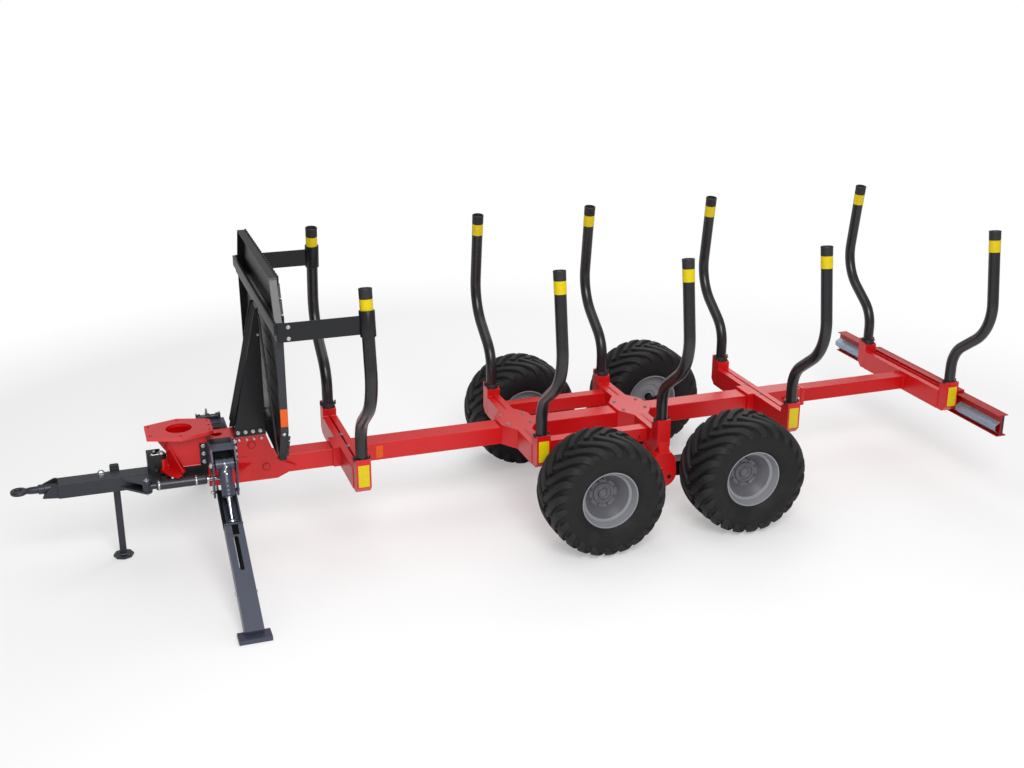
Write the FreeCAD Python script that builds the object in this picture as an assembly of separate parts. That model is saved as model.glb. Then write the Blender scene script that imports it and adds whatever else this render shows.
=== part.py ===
import FreeCAD
import Part
import math
import os

V = FreeCAD.Vector

# Forestry trailer with a single main beam, twin bogies, five pairs of log stakes,
# a headboard, a crane mount, folding stabilisers, a steered drawbar and a jack.
# Millimetres. +X points forward to the tow eye, +Y to the left, +Z up.
# The origin is on the ground, in the middle of the overall length and width.

# ---- driving dimensions ------------------------------------------------------
TRAILER_HALF_LENGTH = 3835
PLAY = 0.05

# main beam and sliding rear extension
BEAM_HALF_WIDTH = 87
BEAM_BOTTOM = 590
BEAM_TOP = 734
TUBE_WALL = 8
BEAM_REAR = -2591
BEAM_FRONT = 2000
EXTENSION_HALF_WIDTH = 69
EXTENSION_BOTTOM = 603
EXTENSION_TOP = 721
EXTENSION_FRONT = -1900

# bolsters and their stake sockets, front to rear
BOLSTER_X = (1401, 8, -993, -2146, -3668)
BOLSTER_HALF = 60
BOLSTER_TOP = 753.5
BOLSTER_GROOVE_HALF = 7
BOLSTER_GROOVE_DEPTH = 30
REAR_STEP_DEPTH = 45
SOCKET_Y = 605
SOCKET_HALF = 55
SOCKET_INNER_TOP = 812
SOCKET_OUTER_TOP = 855
SOCKET_LIP = 12
SOCKET_WALL = 8
SOCKET_FLOOR = 790
SOCKET_CHAMFER = 45
COLLAR_WIDE = (148, 95)
COLLAR_NARROW = (58, 235)
SLEEVE_LENGTH = 52
SLEEVE_HALF_WIDTH = 108

# stakes
STAKE_RADIUS = 44.45
STAKE_WALL = 6
STAKE_FOOT_Z = 640
STAKE_TOP_Z = 2212
STAKE_LOWER_KNEE = (605, 1105)
STAKE_UPPER_KNEE = (1049, 1427)
STAKE_TOP_Y = 938
STAKE_LOWER_BEND = 260
STAKE_UPPER_BEND = 380

# rear light beam
LIGHT_BEAM_HALF = 1190
LIGHT_BEAM_BOTTOM = 556
LIGHT_BEAM_TOP = 739
LIGHT_BEAM_REAR = -3820
LIGHT_BEAM_WALL = 8
LIGHT_BEAM_WEB_REAR = -3763
LAMP_Y = (930, 1100)
LAMP_Z = (598, 698)

# bogies
WHEEL_X = {"front": -354.6, "rear": -1548.3}
BOGIE_X = BOLSTER_X[2]
BOGIE_PIVOT_Z = 410
BOGIE_PIN_RADIUS = 45
BOGIE_BEAM_Y = (485, 605)
BOGIE_BEAM_Z = (344, 468)
BOGIE_END_RADIUS = 95
STUB_RADIUS = 30
STUB_END_Y = 955
RAIL_Y = (375, 475)
RAIL_Z = (620, 730)
HANGER_OUTER_Y = (612, 692)
HANGER_INNER_Y = (420, 478)
HANGER_RADIUS = 106
HANGER_NECK = 57
HANGER_SHOULDER = (95, 541)
HANGER_WAIST_Z = 434
HANGER_RIB_HALF = 40
HANGER_RIB_TOP = 672
HANGER_RIB_FOOT = 558
BRIDGE_BOTTOM = 505
BRIDGE_THICKNESS = 12

# wheels
TYRE_RADIUS = 466
TYRE_HALF = 241
WHEEL_Y = 928
RIM_HALF = 190
RIM_RADIUS = 225.7
BEAD_RADIUS = 211.4
BEAD_GAP = 0.5
DISC_RADIUS = 172
DISC_EDGE = 122
HUB_FACE = 34
HUB_RADIUS = 90
HUB_BACK = -60

# front frame, crane mount and drawbar pivot
FRAME_INNER_Y = BEAM_HALF_WIDTH
FRAME_OUTER_Y = 107
DECK_TOP = 934
DECK_THICKNESS = 12
DECK_HOLE_X = 2360
DECK_HOLE_RADIUS = 40
MOUNT_TOP = 1016
MOUNT_BOTTOM = 988
MOUNT_X = 2626.5
MOUNT_HOLE_RADIUS = 95
MOUNT_BOLT_RADIUS = 11
MOUNT_CORNER = (211.5, 93)
MOUNT_SIDE_Y = 162
MOUNT_TAIL_X = -217
COLUMN_X = (2449, 2628)
COLUMN_BOTTOM = 750
COLUMN_WALL = 12
PIVOT_X = 2769
PIVOT_PIN_RADIUS = 25
PIVOT_BOSS_RADIUS = 38
PIVOT_BOSS_TOP = 798
TONGUE_Z = (712, 736)
TONGUE_RADIUS = 36
TONGUE_WING = [(-27, 149), (-96, 235), (-157, 116)]
CHEEK_CORNERS = [(2748, 107, 988), (2634, 186, 736), (2722, 12, 736)]
CHEEK_THICKNESS = 12
GUSSET_HALF = 12
GUSSET_TIP_X = 2812
GUSSET_BEND = (2745, 868)
GUSSET_WAIST_Z = 840
PIVOT_BLOCK_BOTTOM = 655

# drawbar and tow eye
DRAWBAR_HALF_WIDTH = 70
DRAWBAR_BOTTOM = 608
DRAWBAR_TOP = 716
DRAWBAR_REAR = 2853
DRAWBAR_FRONT = 3509
CLEVIS_BACK = 2829
CLEVIS_EAR_RADIUS = 38
CLEVIS_UPPER_Z = (804, 828)
CLEVIS_LOWER_Z = (680, 704)
TOW_EYE_X = 3780
TOW_EYE_Z = 672
TOW_EYE_RADIUS = 55
TOW_EYE_BORE = 25
TOW_EYE_HALF = 16
TOW_SHANK_RADIUS = 24

# steering cylinder on the left side
STEER_Y = 200
STEER_Z = 670
STEER_BARREL_X = 2899
STEER_ROD_X = 2329
STEER_BARREL_RADIUS = 36
STEER_GLAND_X = 2479
STEER_ROD_RADIUS = 16
STEER_ROD_INSIDE = 170
STEER_EYE_HALF = 26
STEER_EYE_RADIUS = 32
STEER_ROD_EYE_HALF = 18
STEER_ROD_EYE_RADIUS = 25
STEER_LUG_REAR = 39
STEER_LUG_FRONT = 22
STEER_LUG_TIP = 35
STEER_LUG_GAP = 30
STEER_LUG_THICKNESS = 20
BAR_LUG_ROOT_X = 3080
BAR_LUG_RADIUS = 36
BAR_LUG_THICKNESS = 16
BAR_LUG_Z = (626, 698)

# stabilisers
STAB_X = 2354
STAB_HINGE = (322, 610)
STAB_CYLINDER_TOP = (350, 832)
STAB_CYLINDER_FOOT = (575, 478)
STAB_GROUND = (1430, 30)
STAB_LEG_HALF_X = 65
STAB_LEG_HALF_DEPTH = 50
STAB_CHANNEL_END = 335
STAB_PLATE_X = (78, 90)
STAB_CHEEK_RADIUS = 45
STAB_CHEEK_TOP = 940
STAB_CHEEK_BOTTOM = 740
STAB_CHEEK_SHOULDER_Y = 320
STAB_TIE_BACK_Y = 160
STAB_TIE_THICKNESS = 12
STAB_BARREL_RADIUS = 40
STAB_BARREL_END = 235
STAB_ROD_RADIUS = 14
STAB_EYE_RADIUS = 24
STAB_FOOT_HALF = (112, 60)
STAB_FOOT_HEIGHT = 30

# jack on the right side of the drawbar
JACK_X = 3105
JACK_Y = -112
JACK_HALF = 25
JACK_PLAY = 1
JACK_SLEEVE_WALL = 8
JACK_SLEEVE_Z = (590, 735)
JACK_POST_TOP = 745
JACK_FOOT_RADIUS = 70
JACK_FOOT_HEIGHT = 20

# headboard
HEADBOARD_X = (1954, 2009)
HEADBOARD_CORNERS = [(734, 2290), (870, 2010), (850, 1220), (690, 955)]
HEADBOARD_RIM = 10
HEADBOARD_SHEET = 6
CROSSBAR_X = (2009, 2030)
CROSSBAR_Z = (1905, 2037)
CROSSBAR_HALF = 965
ARM_Y = (962, 974)
ARM_COLLAR_RADIUS = 55
ARM_COLLAR_Z = (1890, 2070)
PEDESTAL_Y = (108, 120)
PEDESTAL_FRONT = 2250
BRACE_HALF = 25
BRACE_ENDS = ((690, 990), (160, 1870))

os.makedirs("parts", exist_ok=True)


# ---- shape helpers -----------------------------------------------------------
def box(x0, x1, y0, y1, z0, z1):
    corner = V(min(x0, x1), min(y0, y1), min(z0, z1))
    return Part.makeBox(abs(x1 - x0), abs(y1 - y0), abs(z1 - z0), corner)


def rod(start, end, radius):
    direction = V(*end) - V(*start)
    return Part.makeCylinder(radius, direction.Length, V(*start), direction)


def across(x, z, y0, y1, radius):
    return rod((x, y0, z), (x, y1, z), radius)


def upright(x, y, z0, z1, radius):
    return rod((x, y, z0), (x, y, z1), radius)


def face_from(corners):
    return Part.Face(Part.makePolygon(corners + corners[:1]))


def plate_xz(points, y0, y1):
    corners = [V(x, y0, z) for x, z in points]
    return face_from(corners).extrude(V(0, y1 - y0, 0))


def plate_yz(points, x0, x1):
    corners = [V(x0, y, z) for y, z in points]
    return face_from(corners).extrude(V(x1 - x0, 0, 0))


def plate_xy(points, z0, z1):
    corners = [V(x, y, z0) for x, y in points]
    return face_from(corners).extrude(V(0, 0, z1 - z0))


def join(first, *others):
    return first.fuse(list(others)).removeSplitter()


def mirrored(shape):
    return shape.mirror(V(0, 0, 0), V(0, 1, 0))


def pair(shape):
    return Part.makeCompound([shape, mirrored(shape)])


def both_sides(points):
    """Points (y, z) of a left half, carried round to the right half."""
    return points + [(-y, z) for y, z in reversed(points)]


def save(node, shape):
    for solid in shape.Solids:
        if not solid.isValid() or not solid.isClosed():
            print("check the solid in", node)
    shape.exportStep("parts/" + node + ".step")


# ---- log stakes --------------------------------------------------------------
def stake_path():
    """Centre line of a left stake in the plane x = 0, as tangent runs and arcs."""
    low = V(0, *STAKE_LOWER_KNEE)
    high = V(0, *STAKE_UPPER_KNEE)
    corners = [V(0, SOCKET_Y, STAKE_FOOT_Z), low, high, V(0, STAKE_TOP_Y, STAKE_TOP_Z)]
    edges = []
    start = corners[0]
    for index, radius in ((1, STAKE_LOWER_BEND), (2, STAKE_UPPER_BEND)):
        corner = corners[index]
        back = (corners[index - 1] - corner).normalize()
        ahead = (corners[index + 1] - corner).normalize()
        half_turn = (math.pi - back.getAngle(ahead)) / 2
        tangent = radius * math.tan(half_turn)
        first = corner + back * tangent
        last = corner + ahead * tangent
        centre = corner + (back + ahead).normalize() * (radius / math.cos(half_turn))
        middle = centre + (corner - centre).normalize() * radius
        edges.append(Part.LineSegment(start, first).toShape())
        edges.append(Part.Arc(first, middle, last).toShape())
        start = last
    edges.append(Part.LineSegment(start, corners[3]).toShape())
    return Part.Wire(edges)


def swept_round(radius):
    circle = Part.Wire(Part.makeCircle(radius, V(0, SOCKET_Y, STAKE_FOOT_Z), V(0, 0, 1)))
    return stake_path().makePipeShell([circle], True, False)


stake_tube = swept_round(STAKE_RADIUS).cut(swept_round(STAKE_RADIUS - STAKE_WALL))
stake_core = swept_round(STAKE_RADIUS)


def at_x(shape, x):
    moved = shape.copy()
    moved.translate(V(x, 0, 0))
    return moved


front_stakes = [at_x(stake_tube, x) for x in BOLSTER_X[:4]]
save("stakes_left", Part.makeCompound(front_stakes))
save("stakes_right", Part.makeCompound([mirrored(one) for one in front_stakes]))
save("stakes_rear", pair(at_x(stake_tube, BOLSTER_X[4])))


# ---- main beam and rear extension --------------------------------------------
def box_tube(x0, x1, half_width, z0, z1):
    outside = box(x0, x1, -half_width, half_width, z0, z1)
    hollow = half_width - TUBE_WALL
    return outside.cut(box(x0 - 1, x1 + 1, -hollow, hollow, z0 + TUBE_WALL, z1 - TUBE_WALL))


beam_outline = box(BEAM_REAR, BEAM_FRONT, -BEAM_HALF_WIDTH, BEAM_HALF_WIDTH, BEAM_BOTTOM, BEAM_TOP)
save("main_beam", box_tube(BEAM_REAR, BEAM_FRONT, BEAM_HALF_WIDTH, BEAM_BOTTOM, BEAM_TOP))
last_bolster_front = BOLSTER_X[4] + BOLSTER_HALF
save("extension_tube", box_tube(last_bolster_front, EXTENSION_FRONT, EXTENSION_HALF_WIDTH,
                                EXTENSION_BOTTOM, EXTENSION_TOP))


# ---- bolsters with stake sockets ---------------------------------------------
SOCKET_INNER_Y = SOCKET_Y - SOCKET_HALF
SOCKET_OUTER_Y = SOCKET_Y + SOCKET_HALF


def socket(x):
    """Plate box on the left end of a bolster, open at the top, its outer end higher."""
    outline = [(SOCKET_INNER_Y, BEAM_BOTTOM), (SOCKET_OUTER_Y - SOCKET_CHAMFER, BEAM_BOTTOM),
               (SOCKET_OUTER_Y, BEAM_BOTTOM + SOCKET_CHAMFER), (SOCKET_OUTER_Y, SOCKET_OUTER_TOP),
               (SOCKET_OUTER_Y - SOCKET_LIP, SOCKET_OUTER_TOP), (SOCKET_INNER_Y, SOCKET_INNER_TOP)]
    block = plate_yz(outline, x - SOCKET_HALF, x + SOCKET_HALF)
    hollow = SOCKET_HALF - SOCKET_WALL
    mouth = box(x - hollow, x + hollow, SOCKET_Y - hollow, SOCKET_Y + hollow,
                SOCKET_FLOOR, SOCKET_OUTER_TOP + 1)
    bore = upright(x, SOCKET_Y, STAKE_FOOT_Z, SOCKET_FLOOR + 1, STAKE_RADIUS)
    return block.cut(mouth).cut(bore)


def bolster(x):
    """Folded cross beam with a groove along its top, welded between its two sockets."""
    beam = box(x - BOLSTER_HALF, x + BOLSTER_HALF, -SOCKET_INNER_Y, SOCKET_INNER_Y,
               BEAM_BOTTOM, BOLSTER_TOP)
    groove = box(x - BOLSTER_GROOVE_HALF, x + BOLSTER_GROOVE_HALF, -SOCKET_INNER_Y, SOCKET_INNER_Y,
                 BOLSTER_TOP - BOLSTER_GROOVE_DEPTH, BOLSTER_TOP + 1)
    return beam.cut(groove)


def bolted_collar(x):
    """Eight-sided clamp round the main beam on the two middle bolsters."""
    corners = [COLLAR_WIDE, COLLAR_NARROW, (-COLLAR_NARROW[0], COLLAR_NARROW[1]),
               (-COLLAR_WIDE[0], COLLAR_WIDE[1])]
    corners += [(dx, -dy) for dx, dy in reversed(corners)]
    return plate_xy([(x + dx, dy) for dx, dy in corners], BEAM_BOTTOM, BOLSTER_TOP)


def front_sleeve(x):
    """Short sleeve round the main beam on the front side of a bolster."""
    return box(x + BOLSTER_HALF, x + BOLSTER_HALF + SLEEVE_LENGTH, -SLEEVE_HALF_WIDTH,
               SLEEVE_HALF_WIDTH, BEAM_BOTTOM, BOLSTER_TOP)


for number, clamp in ((1, front_sleeve), (2, bolted_collar), (3, bolted_collar), (4, front_sleeve)):
    x = BOLSTER_X[number - 1]
    save("bolster_%d" % number, join(bolster(x), clamp(x)).cut(beam_outline))
last_bolster_rear = BOLSTER_X[4] - BOLSTER_HALF
rear_wall = last_bolster_rear + LIGHT_BEAM_WALL
step_front = BOLSTER_X[4] + BOLSTER_GROOVE_HALF
rear_step = plate_xz([(rear_wall, BOLSTER_TOP - REAR_STEP_DEPTH), (step_front, BOLSTER_TOP - REAR_STEP_DEPTH),
                      (step_front, BOLSTER_TOP + 1), (last_bolster_rear - 1, BOLSTER_TOP + 1),
                      (last_bolster_rear - 1, LIGHT_BEAM_TOP), (rear_wall, LIGHT_BEAM_TOP)],
                     -SOCKET_INNER_Y, SOCKET_INNER_Y)
save("bolster_5", bolster(BOLSTER_X[4]).cut(rear_step))
save("sockets_left", Part.makeCompound([socket(x) for x in BOLSTER_X[:4]]))
save("sockets_right", Part.makeCompound([mirrored(socket(x)) for x in BOLSTER_X[:4]]))
save("sockets_rear", pair(socket(BOLSTER_X[4])))

# ---- rear light beam ---------------------------------------------------------
web = box(LIGHT_BEAM_WEB_REAR, LIGHT_BEAM_WEB_REAR + LIGHT_BEAM_WALL, -LIGHT_BEAM_HALF, LIGHT_BEAM_HALF,
          LIGHT_BEAM_BOTTOM, LIGHT_BEAM_TOP)
flanges = [box(LIGHT_BEAM_REAR, last_bolster_rear, -LIGHT_BEAM_HALF, LIGHT_BEAM_HALF,
               z, z + LIGHT_BEAM_WALL)
           for z in (LIGHT_BEAM_BOTTOM, LIGHT_BEAM_TOP - LIGHT_BEAM_WALL)]
save("rear_light_beam", join(web, *flanges))
save("rear_lamps", pair(box(-TRAILER_HALF_LENGTH, LIGHT_BEAM_WEB_REAR, *LAMP_Y, *LAMP_Z)))

# ---- bogie subframe and hangers ----------------------------------------------
save("subframe_rails", pair(box(BOLSTER_X[2] + BOLSTER_HALF, BOLSTER_X[1] - BOLSTER_HALF,
                                *RAIL_Y, *RAIL_Z)))
hanger_left = [(BOGIE_X - HANGER_NECK, BEAM_BOTTOM), (BOGIE_X - HANGER_SHOULDER[0], HANGER_SHOULDER[1]),
               (BOGIE_X - HANGER_RADIUS, HANGER_WAIST_Z), (BOGIE_X - HANGER_RADIUS, BOGIE_PIVOT_Z)]
hanger_outline = hanger_left + [(2 * BOGIE_X - x, z) for x, z in reversed(hanger_left)]


def hanger_plate(y0, y1):
    """Cheek that carries one end of a bogie pin below the third bolster."""
    plate = join(plate_xz(hanger_outline, y0, y1), across(BOGIE_X, BOGIE_PIVOT_Z, y0, y1, HANGER_RADIUS))
    return plate.cut(across(BOGIE_X, BOGIE_PIVOT_Z, y0 - 1, y1 + 1, BOGIE_PIN_RADIUS))


def hanger_rib():
    """Sloping stiffener from the outside of the third socket down to the outer cheek."""
    y1 = HANGER_OUTER_Y[1]
    outline = [(SOCKET_OUTER_Y, HANGER_RIB_TOP), (y1, HANGER_RIB_FOOT), (y1, BEAM_BOTTOM - SOCKET_CHAMFER),
               (SOCKET_OUTER_Y - SOCKET_CHAMFER, BEAM_BOTTOM - SOCKET_CHAMFER),
               (SOCKET_OUTER_Y - SOCKET_CHAMFER, BEAM_BOTTOM), (SOCKET_OUTER_Y, BEAM_BOTTOM + SOCKET_CHAMFER)]
    return plate_yz(outline, BOGIE_X - HANGER_RIB_HALF, BOGIE_X + HANGER_RIB_HALF)


save("bogie_hangers", Part.makeCompound([pair(join(hanger_plate(*HANGER_OUTER_Y), hanger_rib())),
                                         pair(hanger_plate(*HANGER_INNER_Y))]))
bridges = [box(x, x + BRIDGE_THICKNESS, HANGER_INNER_Y[1], HANGER_OUTER_Y[0], BRIDGE_BOTTOM, BEAM_BOTTOM)
           for x in (BOGIE_X - HANGER_NECK, BOGIE_X + HANGER_NECK - BRIDGE_THICKNESS)]
save("hanger_bridges", Part.makeCompound([pair(one) for one in bridges]))
save("bogie_axle", across(BOGIE_X, BOGIE_PIVOT_Z, -HANGER_OUTER_Y[1], HANGER_OUTER_Y[1],
                          BOGIE_PIN_RADIUS))


# ---- bogie beams, rims and tyres ---------------------------------------------
def bogie_beam():
    """Rocking beam of the left side, with a stub axle at each end."""
    y0, y1 = BOGIE_BEAM_Y
    middle = box(WHEEL_X["rear"], WHEEL_X["front"], y0, y1, *BOGIE_BEAM_Z)
    ends = [across(x, TYRE_RADIUS, y0, y1, BOGIE_END_RADIUS) for x in WHEEL_X.values()]
    stubs = [across(x, TYRE_RADIUS, y1, STUB_END_Y, STUB_RADIUS) for x in WHEEL_X.values()]
    bore = across(BOGIE_X, BOGIE_PIVOT_Z, y0 - 1, y1 + 1, BOGIE_PIN_RADIUS + PLAY)
    return join(middle, *ends, *stubs).cut(bore)


save("bogie_beam_left", bogie_beam())
save("bogie_beam_right", mirrored(bogie_beam()))


def turned(profile, x):
    """Revolve points (distance out from the wheel's middle, radius) round a left axle."""
    corners = [V(x, WHEEL_Y + out, TYRE_RADIUS + radius) for out, radius in profile]
    return face_from(corners).revolve(V(x, 0, TYRE_RADIUS), V(0, 1, 0), 360)


tyre_outside = [(0, TYRE_RADIUS), (160, 461), (215, 443), (TYRE_HALF, 400), (TYRE_HALF, 340),
                (222, 265), (RIM_HALF + 1, RIM_RADIUS + BEAD_GAP), (RIM_HALF - 8, RIM_RADIUS + BEAD_GAP),
                (RIM_HALF - 30, BEAD_RADIUS + BEAD_GAP)]
tyre_inside = [(RIM_HALF - 55, BEAD_RADIUS + BEAD_GAP), (RIM_HALF - 40, 262), (205, 330), (205, 385),
               (180, 415)]
tyre_half = tyre_outside + tyre_inside + [(0, 425)]
tyre_profile = tyre_half + [(-out, radius) for out, radius in reversed(tyre_half[1:-1])]
axle_bore = STUB_RADIUS + PLAY
rim_profile = [(RIM_HALF, RIM_RADIUS), (RIM_HALF, BEAD_RADIUS), (RIM_HALF - 25, 203),
               (DISC_EDGE + 10, 186), (DISC_EDGE, DISC_RADIUS), (HUB_FACE, HUB_RADIUS),
               (HUB_FACE, axle_bore), (HUB_BACK, axle_bore), (HUB_BACK, HUB_RADIUS),
               (HUB_FACE - 14, HUB_RADIUS), (DISC_EDGE - 14, DISC_RADIUS), (DISC_EDGE - 14, 203),
               (25 - RIM_HALF, 203), (-RIM_HALF, BEAD_RADIUS), (-RIM_HALF, RIM_RADIUS),
               (8 - RIM_HALF, RIM_RADIUS), (30 - RIM_HALF, BEAD_RADIUS), (RIM_HALF - 30, BEAD_RADIUS),
               (RIM_HALF - 8, RIM_RADIUS)]
for axle, wheel_x in WHEEL_X.items():
    tyre = turned(tyre_profile, wheel_x)
    rim = turned(rim_profile, wheel_x)
    save("tyre_%s_left" % axle, tyre)
    save("tyre_%s_right" % axle, mirrored(tyre))
    save("rim_%s_left" % axle, rim)
    save("rim_%s_right" % axle, mirrored(rim))

# ---- front frame, crane mount and pivot nose ---------------------------------
side_outline = [(2009, DECK_TOP - DECK_THICKNESS), (1940, 718), (1797, 641), (1864, 597), (1942, 563),
                (COLUMN_X[0], 566), (COLUMN_X[0], COLUMN_BOTTOM), (COLUMN_X[1], COLUMN_BOTTOM),
                (2748, MOUNT_BOTTOM), (COLUMN_X[0], MOUNT_BOTTOM), (COLUMN_X[0], DECK_TOP - DECK_THICKNESS)]
frame_sides = pair(plate_xz(side_outline, FRAME_INNER_Y, FRAME_OUTER_Y))
save("front_frame_sides", frame_sides)
deck = box(HEADBOARD_X[1], COLUMN_X[0], -FRAME_OUTER_Y, FRAME_OUTER_Y, DECK_TOP - DECK_THICKNESS, DECK_TOP)
save("front_frame_deck", deck.cut(upright(DECK_HOLE_X, 0, DECK_TOP - 50, DECK_TOP + 1, DECK_HOLE_RADIUS)))

mount_outline = [(2866, 123), (2625, 201), (2427, 140), (2390, 114)]
plate = plate_xy(mount_outline + [(x, -y) for x, y in reversed(mount_outline)],
                 MOUNT_BOTTOM, MOUNT_TOP)
mount_bolts = [(MOUNT_TAIL_X, 0)]
for dx, dy in (MOUNT_CORNER, (-MOUNT_CORNER[0], MOUNT_CORNER[1]), (0, MOUNT_SIDE_Y)):
    mount_bolts += [(dx, dy), (dx, -dy)]
plate = plate.cut(upright(MOUNT_X, 0, MOUNT_BOTTOM - 1, MOUNT_TOP + 1, MOUNT_HOLE_RADIUS))
for dx, dy in mount_bolts:
    plate = plate.cut(upright(MOUNT_X + dx, dy, MOUNT_BOTTOM - 1, MOUNT_TOP + 1, MOUNT_BOLT_RADIUS))
save("crane_mount_plate", plate)
column = box(*COLUMN_X, -FRAME_INNER_Y, FRAME_INNER_Y, COLUMN_BOTTOM, MOUNT_BOTTOM)
hollow_y = FRAME_INNER_Y - COLUMN_WALL
save("crane_mount_column", column.cut(box(COLUMN_X[0] + COLUMN_WALL, COLUMN_X[1] - COLUMN_WALL,
                                          -hollow_y, hollow_y, COLUMN_BOTTOM + COLUMN_WALL,
                                          MOUNT_BOTTOM + 1)))


def tongue():
    """Lower pivot plate: wide below the column and rounded at the pin."""
    wing_x, wing_y = TONGUE_WING[0]
    turn = math.atan2(wing_y, wing_x) - math.acos(TONGUE_RADIUS / math.hypot(wing_x, wing_y))
    tangent = (PIVOT_X + TONGUE_RADIUS * math.cos(turn), TONGUE_RADIUS * math.sin(turn))
    left = [tangent] + [(PIVOT_X + dx, y) for dx, y in TONGUE_WING]
    outline = left + [(x, -y) for x, y in reversed(left)]
    return join(plate_xy(outline, *TONGUE_Z), upright(PIVOT_X, 0, *TONGUE_Z, TONGUE_RADIUS))


gusset_front = PIVOT_X - CLEVIS_EAR_RADIUS - 8
gusset_outline = [(COLUMN_X[1], TONGUE_Z[1]), (COLUMN_X[1], MOUNT_BOTTOM), (GUSSET_TIP_X, MOUNT_BOTTOM),
                  (GUSSET_TIP_X, MOUNT_BOTTOM - 10), GUSSET_BEND, (gusset_front, GUSSET_WAIST_Z),
                  (gusset_front, TONGUE_Z[1])]
gusset = plate_xz(gusset_outline, -GUSSET_HALF, GUSSET_HALF)
boss = upright(PIVOT_X, 0, TONGUE_Z[1], PIVOT_BOSS_TOP, PIVOT_BOSS_RADIUS)
boss_rib = box(gusset_front - 1, PIVOT_X, -GUSSET_HALF, GUSSET_HALF, TONGUE_Z[1], PIVOT_BOSS_TOP)
cheek_face = face_from([V(*corner) for corner in CHEEK_CORNERS])
inwards = cheek_face.normalAt(0, 0)
if inwards.x > 0:
    inwards = -inwards
cheek = cheek_face.extrude(inwards * CHEEK_THICKNESS)
below_mount = box(COLUMN_X[1], PIVOT_X, -MOUNT_SIDE_Y - 50, MOUNT_SIDE_Y + 50, TONGUE_Z[1], MOUNT_BOTTOM)
cheeks = pair(cheek.common(below_mount).cut(frame_sides))
nose = join(tongue(), boss, boss_rib, gusset, *cheeks.Solids)
nose = nose.cut(upright(PIVOT_X, 0, TONGUE_Z[0] - 1, PIVOT_BOSS_TOP + 1, PIVOT_PIN_RADIUS + PLAY))
save("pivot_nose", nose)
save("pivot_block", box(COLUMN_X[0], PIVOT_X + TONGUE_WING[-1][0] - 1, -FRAME_OUTER_Y, FRAME_OUTER_Y,
                        PIVOT_BLOCK_BOTTOM, COLUMN_BOTTOM))
steer_lugs = [box(STEER_ROD_X - STEER_LUG_REAR, STEER_ROD_X + STEER_LUG_FRONT, FRAME_OUTER_Y,
                  STEER_Y + STEER_LUG_TIP, z, z + STEER_LUG_THICKNESS)
              for z in (STEER_Z - STEER_LUG_GAP - STEER_LUG_THICKNESS, STEER_Z + STEER_LUG_GAP)]
save("steering_lugs", Part.makeCompound(steer_lugs))


# ---- headboard ---------------------------------------------------------------
def headboard_loop(inset):
    """Octagon of the headboard, with every side moved inwards by the inset."""
    loop = [V(0, y, z) for y, z in both_sides(HEADBOARD_CORNERS)]
    wire = Part.makePolygon(loop + loop[:1])
    if inset:
        wire = wire.makeOffset2D(-inset)
    return Part.Face(wire)


def headboard_plate(inset, x0, x1):
    face = headboard_loop(inset)
    face.translate(V(x0, 0, 0))
    return face.extrude(V(x1 - x0, 0, 0))


save("headboard_frame", headboard_plate(0, *HEADBOARD_X).cut(
    headboard_plate(HEADBOARD_RIM, HEADBOARD_X[0] - 1, HEADBOARD_X[1] + 1)))
save("headboard_panel", headboard_plate(HEADBOARD_RIM, HEADBOARD_X[0], HEADBOARD_X[0] + HEADBOARD_SHEET))
save("headboard_crossbar", box(*CROSSBAR_X, -CROSSBAR_HALF, CROSSBAR_HALF, *CROSSBAR_Z))
pedestal_outline = [(HEADBOARD_X[1], DECK_TOP), (PEDESTAL_FRONT, DECK_TOP), (2034, CROSSBAR_Z[0]),
                    (HEADBOARD_X[1], CROSSBAR_Z[0])]
save("headboard_pedestal", pair(plate_xz(pedestal_outline, *PEDESTAL_Y)))


def brace(low, high):
    """Flat bar in the headboard's plane from a low to a high point (y, z)."""
    run = V(0, high[0] - low[0], high[1] - low[1]).normalize()
    side = V(0, -run.z, run.y) * BRACE_HALF
    corners = [V(HEADBOARD_X[1], *low) - side, V(HEADBOARD_X[1], *low) + side,
               V(HEADBOARD_X[1], *high) + side, V(HEADBOARD_X[1], *high) - side]
    return face_from(corners).extrude(V(HEADBOARD_RIM, 0, 0))


save("headboard_braces", pair(brace(*BRACE_ENDS)))
arm = box(BOLSTER_X[0], CROSSBAR_X[0], *ARM_Y, *CROSSBAR_Z)
lean = (STAKE_TOP_Y - STAKE_UPPER_KNEE[0]) / (STAKE_TOP_Z - STAKE_UPPER_KNEE[1])
collar_ends = [(BOLSTER_X[0], STAKE_TOP_Y + lean * (z - STAKE_TOP_Z), z) for z in ARM_COLLAR_Z]
collar = rod(collar_ends[0], collar_ends[1], ARM_COLLAR_RADIUS)
save("headboard_arms", pair(join(arm, collar).cut(at_x(stake_core, BOLSTER_X[0]))))


# ---- stabilisers -------------------------------------------------------------
def along(start, end, distance, offset=0):
    """Point (y, z) at a distance from start towards end, moved sideways by the offset."""
    length = math.hypot(end[0] - start[0], end[1] - start[1])
    uy = (end[0] - start[0]) / length
    uz = (end[1] - start[1]) / length
    return (start[0] + uy * distance - uz * offset, start[1] + uz * distance + uy * offset)


def slab(start, end, s0, s1, low, high, x0, x1):
    """Box along the line start-end in the YZ plane, between two sideways offsets."""
    outline = [along(start, end, s, o) for s, o in ((s0, low), (s1, low), (s1, high), (s0, high))]
    return plate_yz(outline, x0, x1)


def at_stab(point, dx=0):
    return (STAB_X + dx, point[0], point[1])


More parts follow.
